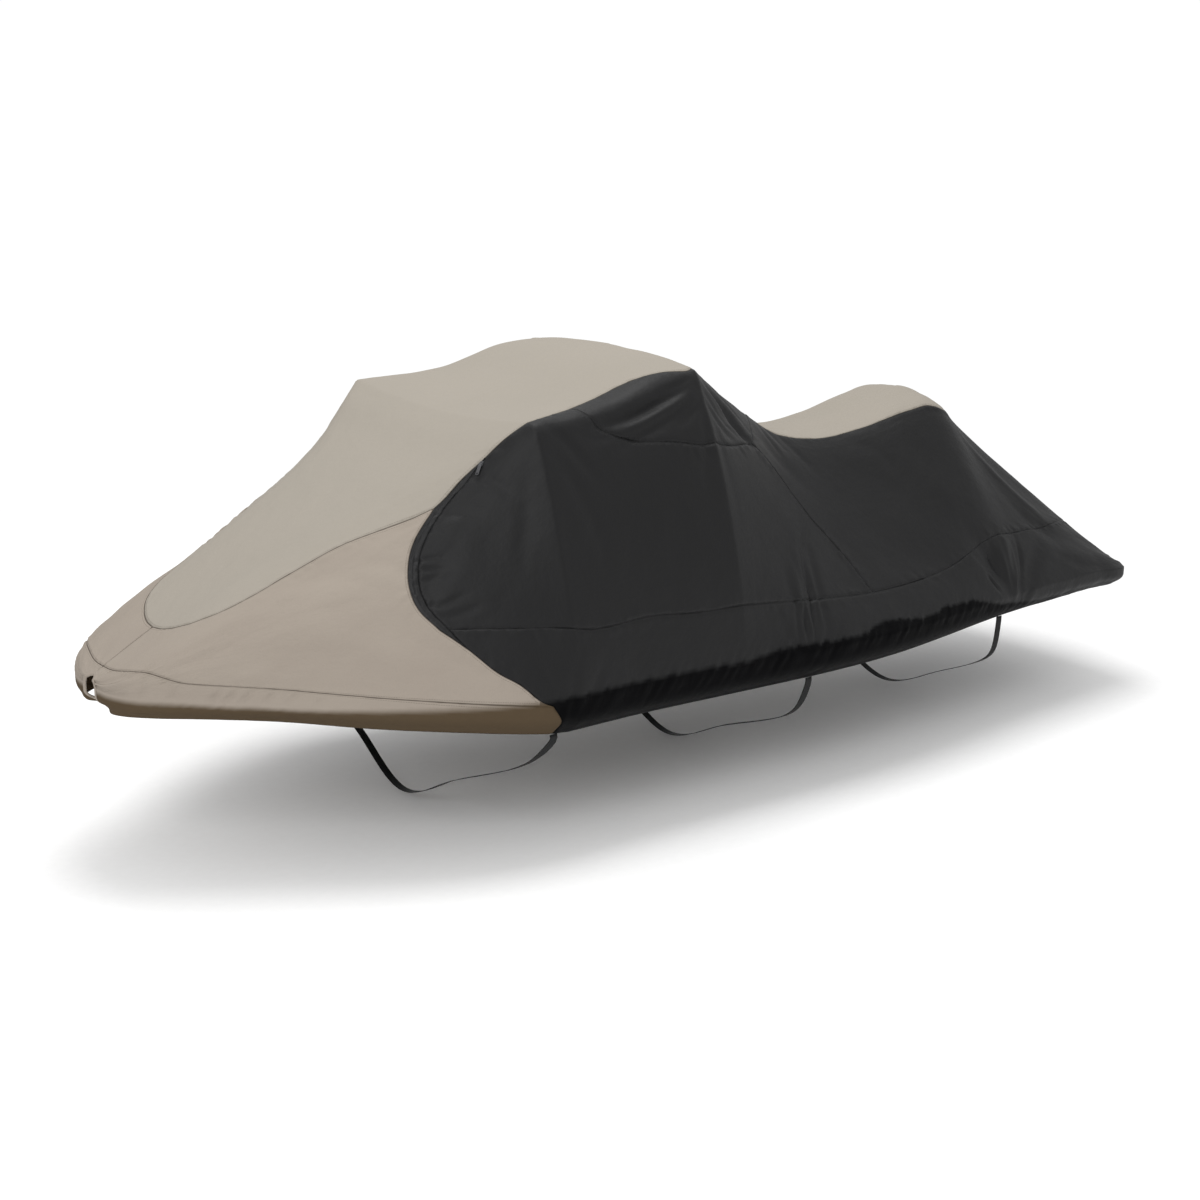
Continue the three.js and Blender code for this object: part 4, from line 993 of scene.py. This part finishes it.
def zip_frame():
    """The place and turn of the slider: across the zip, down the cloth, and out of it."""
    at, level = MEETINGS["zip_head"][:2]
    run, level = np.array([run_of(at - PULL["back"])]), np.array([level - PULL["level"]])
    place, out = drape_points(run, level)[0], drape_normals(run, level)[0]
    down = unit(np.array([0, 0, -1.0]) + out * out[2])
    matrix = Matrix(np.stack([np.cross(down, out), down, out], 1).tolist()).to_4x4()
    matrix.translation = Vector((place - HELD_AT) / 1000)
    return matrix


def smooth_box(name, size, place, bevel):
    bpy.ops.mesh.primitive_cube_add(size=1, location=place)
    box = bpy.context.object
    box.name = name
    bpy.ops.transform.resize(value=size)
    bpy.ops.object.transform_apply(location=True, rotation=True, scale=True)
    edge = box.modifiers.new("bevel", "BEVEL")
    edge.width = bevel
    edge.segments = 3
    bpy.ops.object.modifier_apply(modifier=edge.name)
    bpy.ops.object.shade_smooth_by_angle(angle=SMOOTH_UNDER)
    return box


def fit_to_zip(piece, material):
    piece.matrix_world = zip_frame()
    select_only(piece)
    bpy.ops.object.transform_apply(location=True, rotation=True, scale=True)
    piece.data.materials.clear()
    piece.data.materials.append(material)
    stand_for(piece, "zip_pull")


def make_slider(material):
    wide, long, plate = SLIDER["wide"], SLIDER["long"], SLIDER["plate"]
    low = smooth_box("zip_slider", (wide, long, plate), (0, 0, 0.0016), 0.0004)
    top = smooth_box("slider_top", (wide * 0.8, long * 0.8, plate), (0, 0, 0.0032), 0.0005)
    bridge_size = (SLIDER["bridge"], long * 0.6, SLIDER["bridge"])
    bridge = smooth_box("slider_bridge", bridge_size, (0, 0, 0.0048), 0.0009)
    select_only(low)
    for part in (top, bridge):
        part.select_set(True)
    bpy.ops.object.join()
    fit_to_zip(low, material)


def make_pull(material):
    plate_long = PULL["long"] - PULL["wide"] / 2
    size = (PULL["wide"], plate_long, PULL["thick"])
    plate = smooth_box("zip_pull_tab", size, (0, plate_long / 2 + PULL["past"], PULL["up"]), 0.0008)
    tools = (("UNION", 32, PULL["wide"] / 2, PULL["thick"]), ("DIFFERENCE", 24, PULL["hole"], 0.02))
    for operation, sides, radius, depth in tools:
        bpy.ops.mesh.primitive_cylinder_add(
            vertices=sides, radius=radius, depth=depth, location=(0, plate_long, PULL["up"])
        )
        tool = bpy.context.object
        cut = plate.modifiers.new("cut", "BOOLEAN")
        cut.operation = operation
        cut.solver = "EXACT"
        cut.object = tool
        select_only(plate)
        bpy.ops.object.modifier_apply(modifier=cut.name)
        select_only(tool)
        bpy.ops.object.delete()
    select_only(plate)
    bpy.ops.object.shade_smooth_by_angle(angle=SMOOTH_UNDER)
    fit_to_zip(plate, material)


zip_paint = dark_paint()
make_slider(zip_paint)
make_pull(zip_paint)

# Straps: flat woven polyester webbing 22 mm wide, sewn inside the hem on both sides. Each one goes round
# below in one length and is drawn tight, so that its flat side lies inwards.
STRAP = {"wide": 22.0, "thick": 1.5, "stations": 150, "columns": 7, "straight": 14.0}
STRAPS = [
    # name, from nose, below the hem, then places as along, out from the middle and up
    ("strap_front", 962, 1.4, [(925, 556, -62), (912, 500, -100), (890, 250, -202), (878, 0, -300)]),
    ("strap_middle", 1835, 0.45, [(1812, 546, -88), (1808, 505, -128), (1800, 250, -226), (1796, 0, -316)]),
    ("strap_rear", 2700, 0.6, [(2692, 442, -104), (2690, 415, -138), (2688, 235, -222), (2686, 0, -306)]),
]


def woven_webbing():
    """Plain-weave webbing, with ribs across it every 1.8 mm where the real one has them at 1 mm."""
    material, tree, shader = new_material("black woven webbing", 0.62, 0.3)
    weave, _ = thread_waves(tree, (("Y", 175.0), ("X", 220.0)), 0.3)
    tone = mix_colour(tree, weave, linear("#0A0A0B"), linear("#19191A"))
    finish_surface(tree, shader, tone, ((weave, 0.5, 0.0008),))
    return material


def make_strap(row, material):
    node, at, below, places = row
    start = drape_points(np.array([run_of(at)]), np.array([0.0]))[0] - (0, 0, below)
    port = [start, start - (0, 0, STRAP["straight"]), *[np.array((x, -y, z)) for x, y, z in places]]
    starboard = [p * (1, -1, 1) for p in port[-2::-1]]
    line = curve_points(port + starboard, STRAP["stations"])
    ahead = unit(np.gradient(line, axis=0))
    face = unit(np.cross(ahead, (1, 0, 0)))
    side = unit(np.cross(face, ahead))
    spread = np.linspace(-0.5, 0.5, STRAP["columns"]) * STRAP["wide"]
    crown = 0.5 * np.cos(np.pi * spread / STRAP["wide"])
    lift = STRAP["thick"] / 2 + crown[None, :] - 0.4
    points = line[:, None] + side[:, None] * spread[None, :, None] + face[:, None] * lift[..., None]
    make_strip(f"{node}_webbing", node, points, material, STRAP["thick"], {})


webbing = woven_webbing()
for row in STRAPS:
    make_strap(row, webbing)

# Camera, light and floor: the camera stands ahead of the nose to port, a little above the top. An even
# white room gives most of the light, and a large soft box overhead and one to port draw the folds out of
# it. The floor is matt white paper, which fades into the room far away.
CAMERA = {"yaw": 37.0, "down": 14.8, "roll": 0.5, "place": (-1.93, -4.60, 1.65), "lens": 63.0}
ROOM = {"seen": 1.02, "light": 0.78}
LIGHTS = [
    # name, place, target, size, power
    ("overhead", (0.3, 0.6, 4.6), (0.2, 0, -0.3), 3.6, 165),
    ("port_fill", (-4.5, -3.8, 2.6), (0, 0, -0.4), 2.8, 130),
]
FLOOR_AT = -1.176
FLOOR_FADE = (2.5, 4.6)


def camera_matrix():
    matrix = Matrix.Translation(Vector(CAMERA["place"]) - Vector(HELD_AT / 1000))
    for degrees, axis in ((-CAMERA["yaw"], "Z"), (90 - CAMERA["down"], "X"), (CAMERA["roll"], "Z")):
        matrix @= Matrix.Rotation(math.radians(degrees), 4, axis)
    return matrix


def white_paper():
    material, tree, shader = new_material("matt white paper", 0.95, 0.1)
    place = add_node(tree, "ShaderNodeTexCoord").outputs["Object"]
    tone = mix_colour(tree, noise(tree, place, 40.0, 2.0), linear("#FAFAFA"), linear("#FFFFFF"))
    tree.links.new(tone, shader.inputs["Base Color"])
    away = add_node(tree, "ShaderNodeVectorMath", {0: place}, operation="LENGTH").outputs["Value"]
    tree.links.new(ramp(tree, away, *FLOOR_FADE, 1.0, 0.0), shader.inputs["Alpha"])
    return material


camera_data = bpy.data.cameras.new("camera")
camera_data.lens = CAMERA["lens"]
camera_data.sensor_width = 36.0
camera_data.clip_end = 100.0
camera = bpy.data.objects.new("camera", camera_data)
camera.matrix_world = camera_matrix()
bpy.context.scene.collection.objects.link(camera)
bpy.context.scene.camera = camera

bpy.ops.mesh.primitive_plane_add(size=24, location=(0, 0, FLOOR_AT))
floor = bpy.context.object
floor.name = "floor"
floor.data.materials.append(white_paper())

for name, place, target, size, power in LIGHTS:
    light = bpy.data.lights.new(name, "AREA")
    light.size = size
    light.energy = power
    lamp = bpy.data.objects.new(name, light)
    lamp.location = place
    lamp.rotation_euler = (Vector(target) - Vector(place)).to_track_quat("-Z", "Y").to_euler()
    bpy.context.scene.collection.objects.link(lamp)
world = bpy.data.worlds.new("white room")
world.use_nodes = True
tree = world.node_tree
ray = add_node(tree, "ShaderNodeLightPath").outputs["Is Camera Ray"]
background = tree.nodes["Background"]
background.inputs["Color"].default_value = linear("#FFFFFF")
tree.links.new(ramp(tree, ray, 0.0, 1.0, ROOM["light"], ROOM["seen"]), background.inputs["Strength"])
bpy.context.scene.world = world
bpy.context.scene.view_settings.view_transform = "Standard"
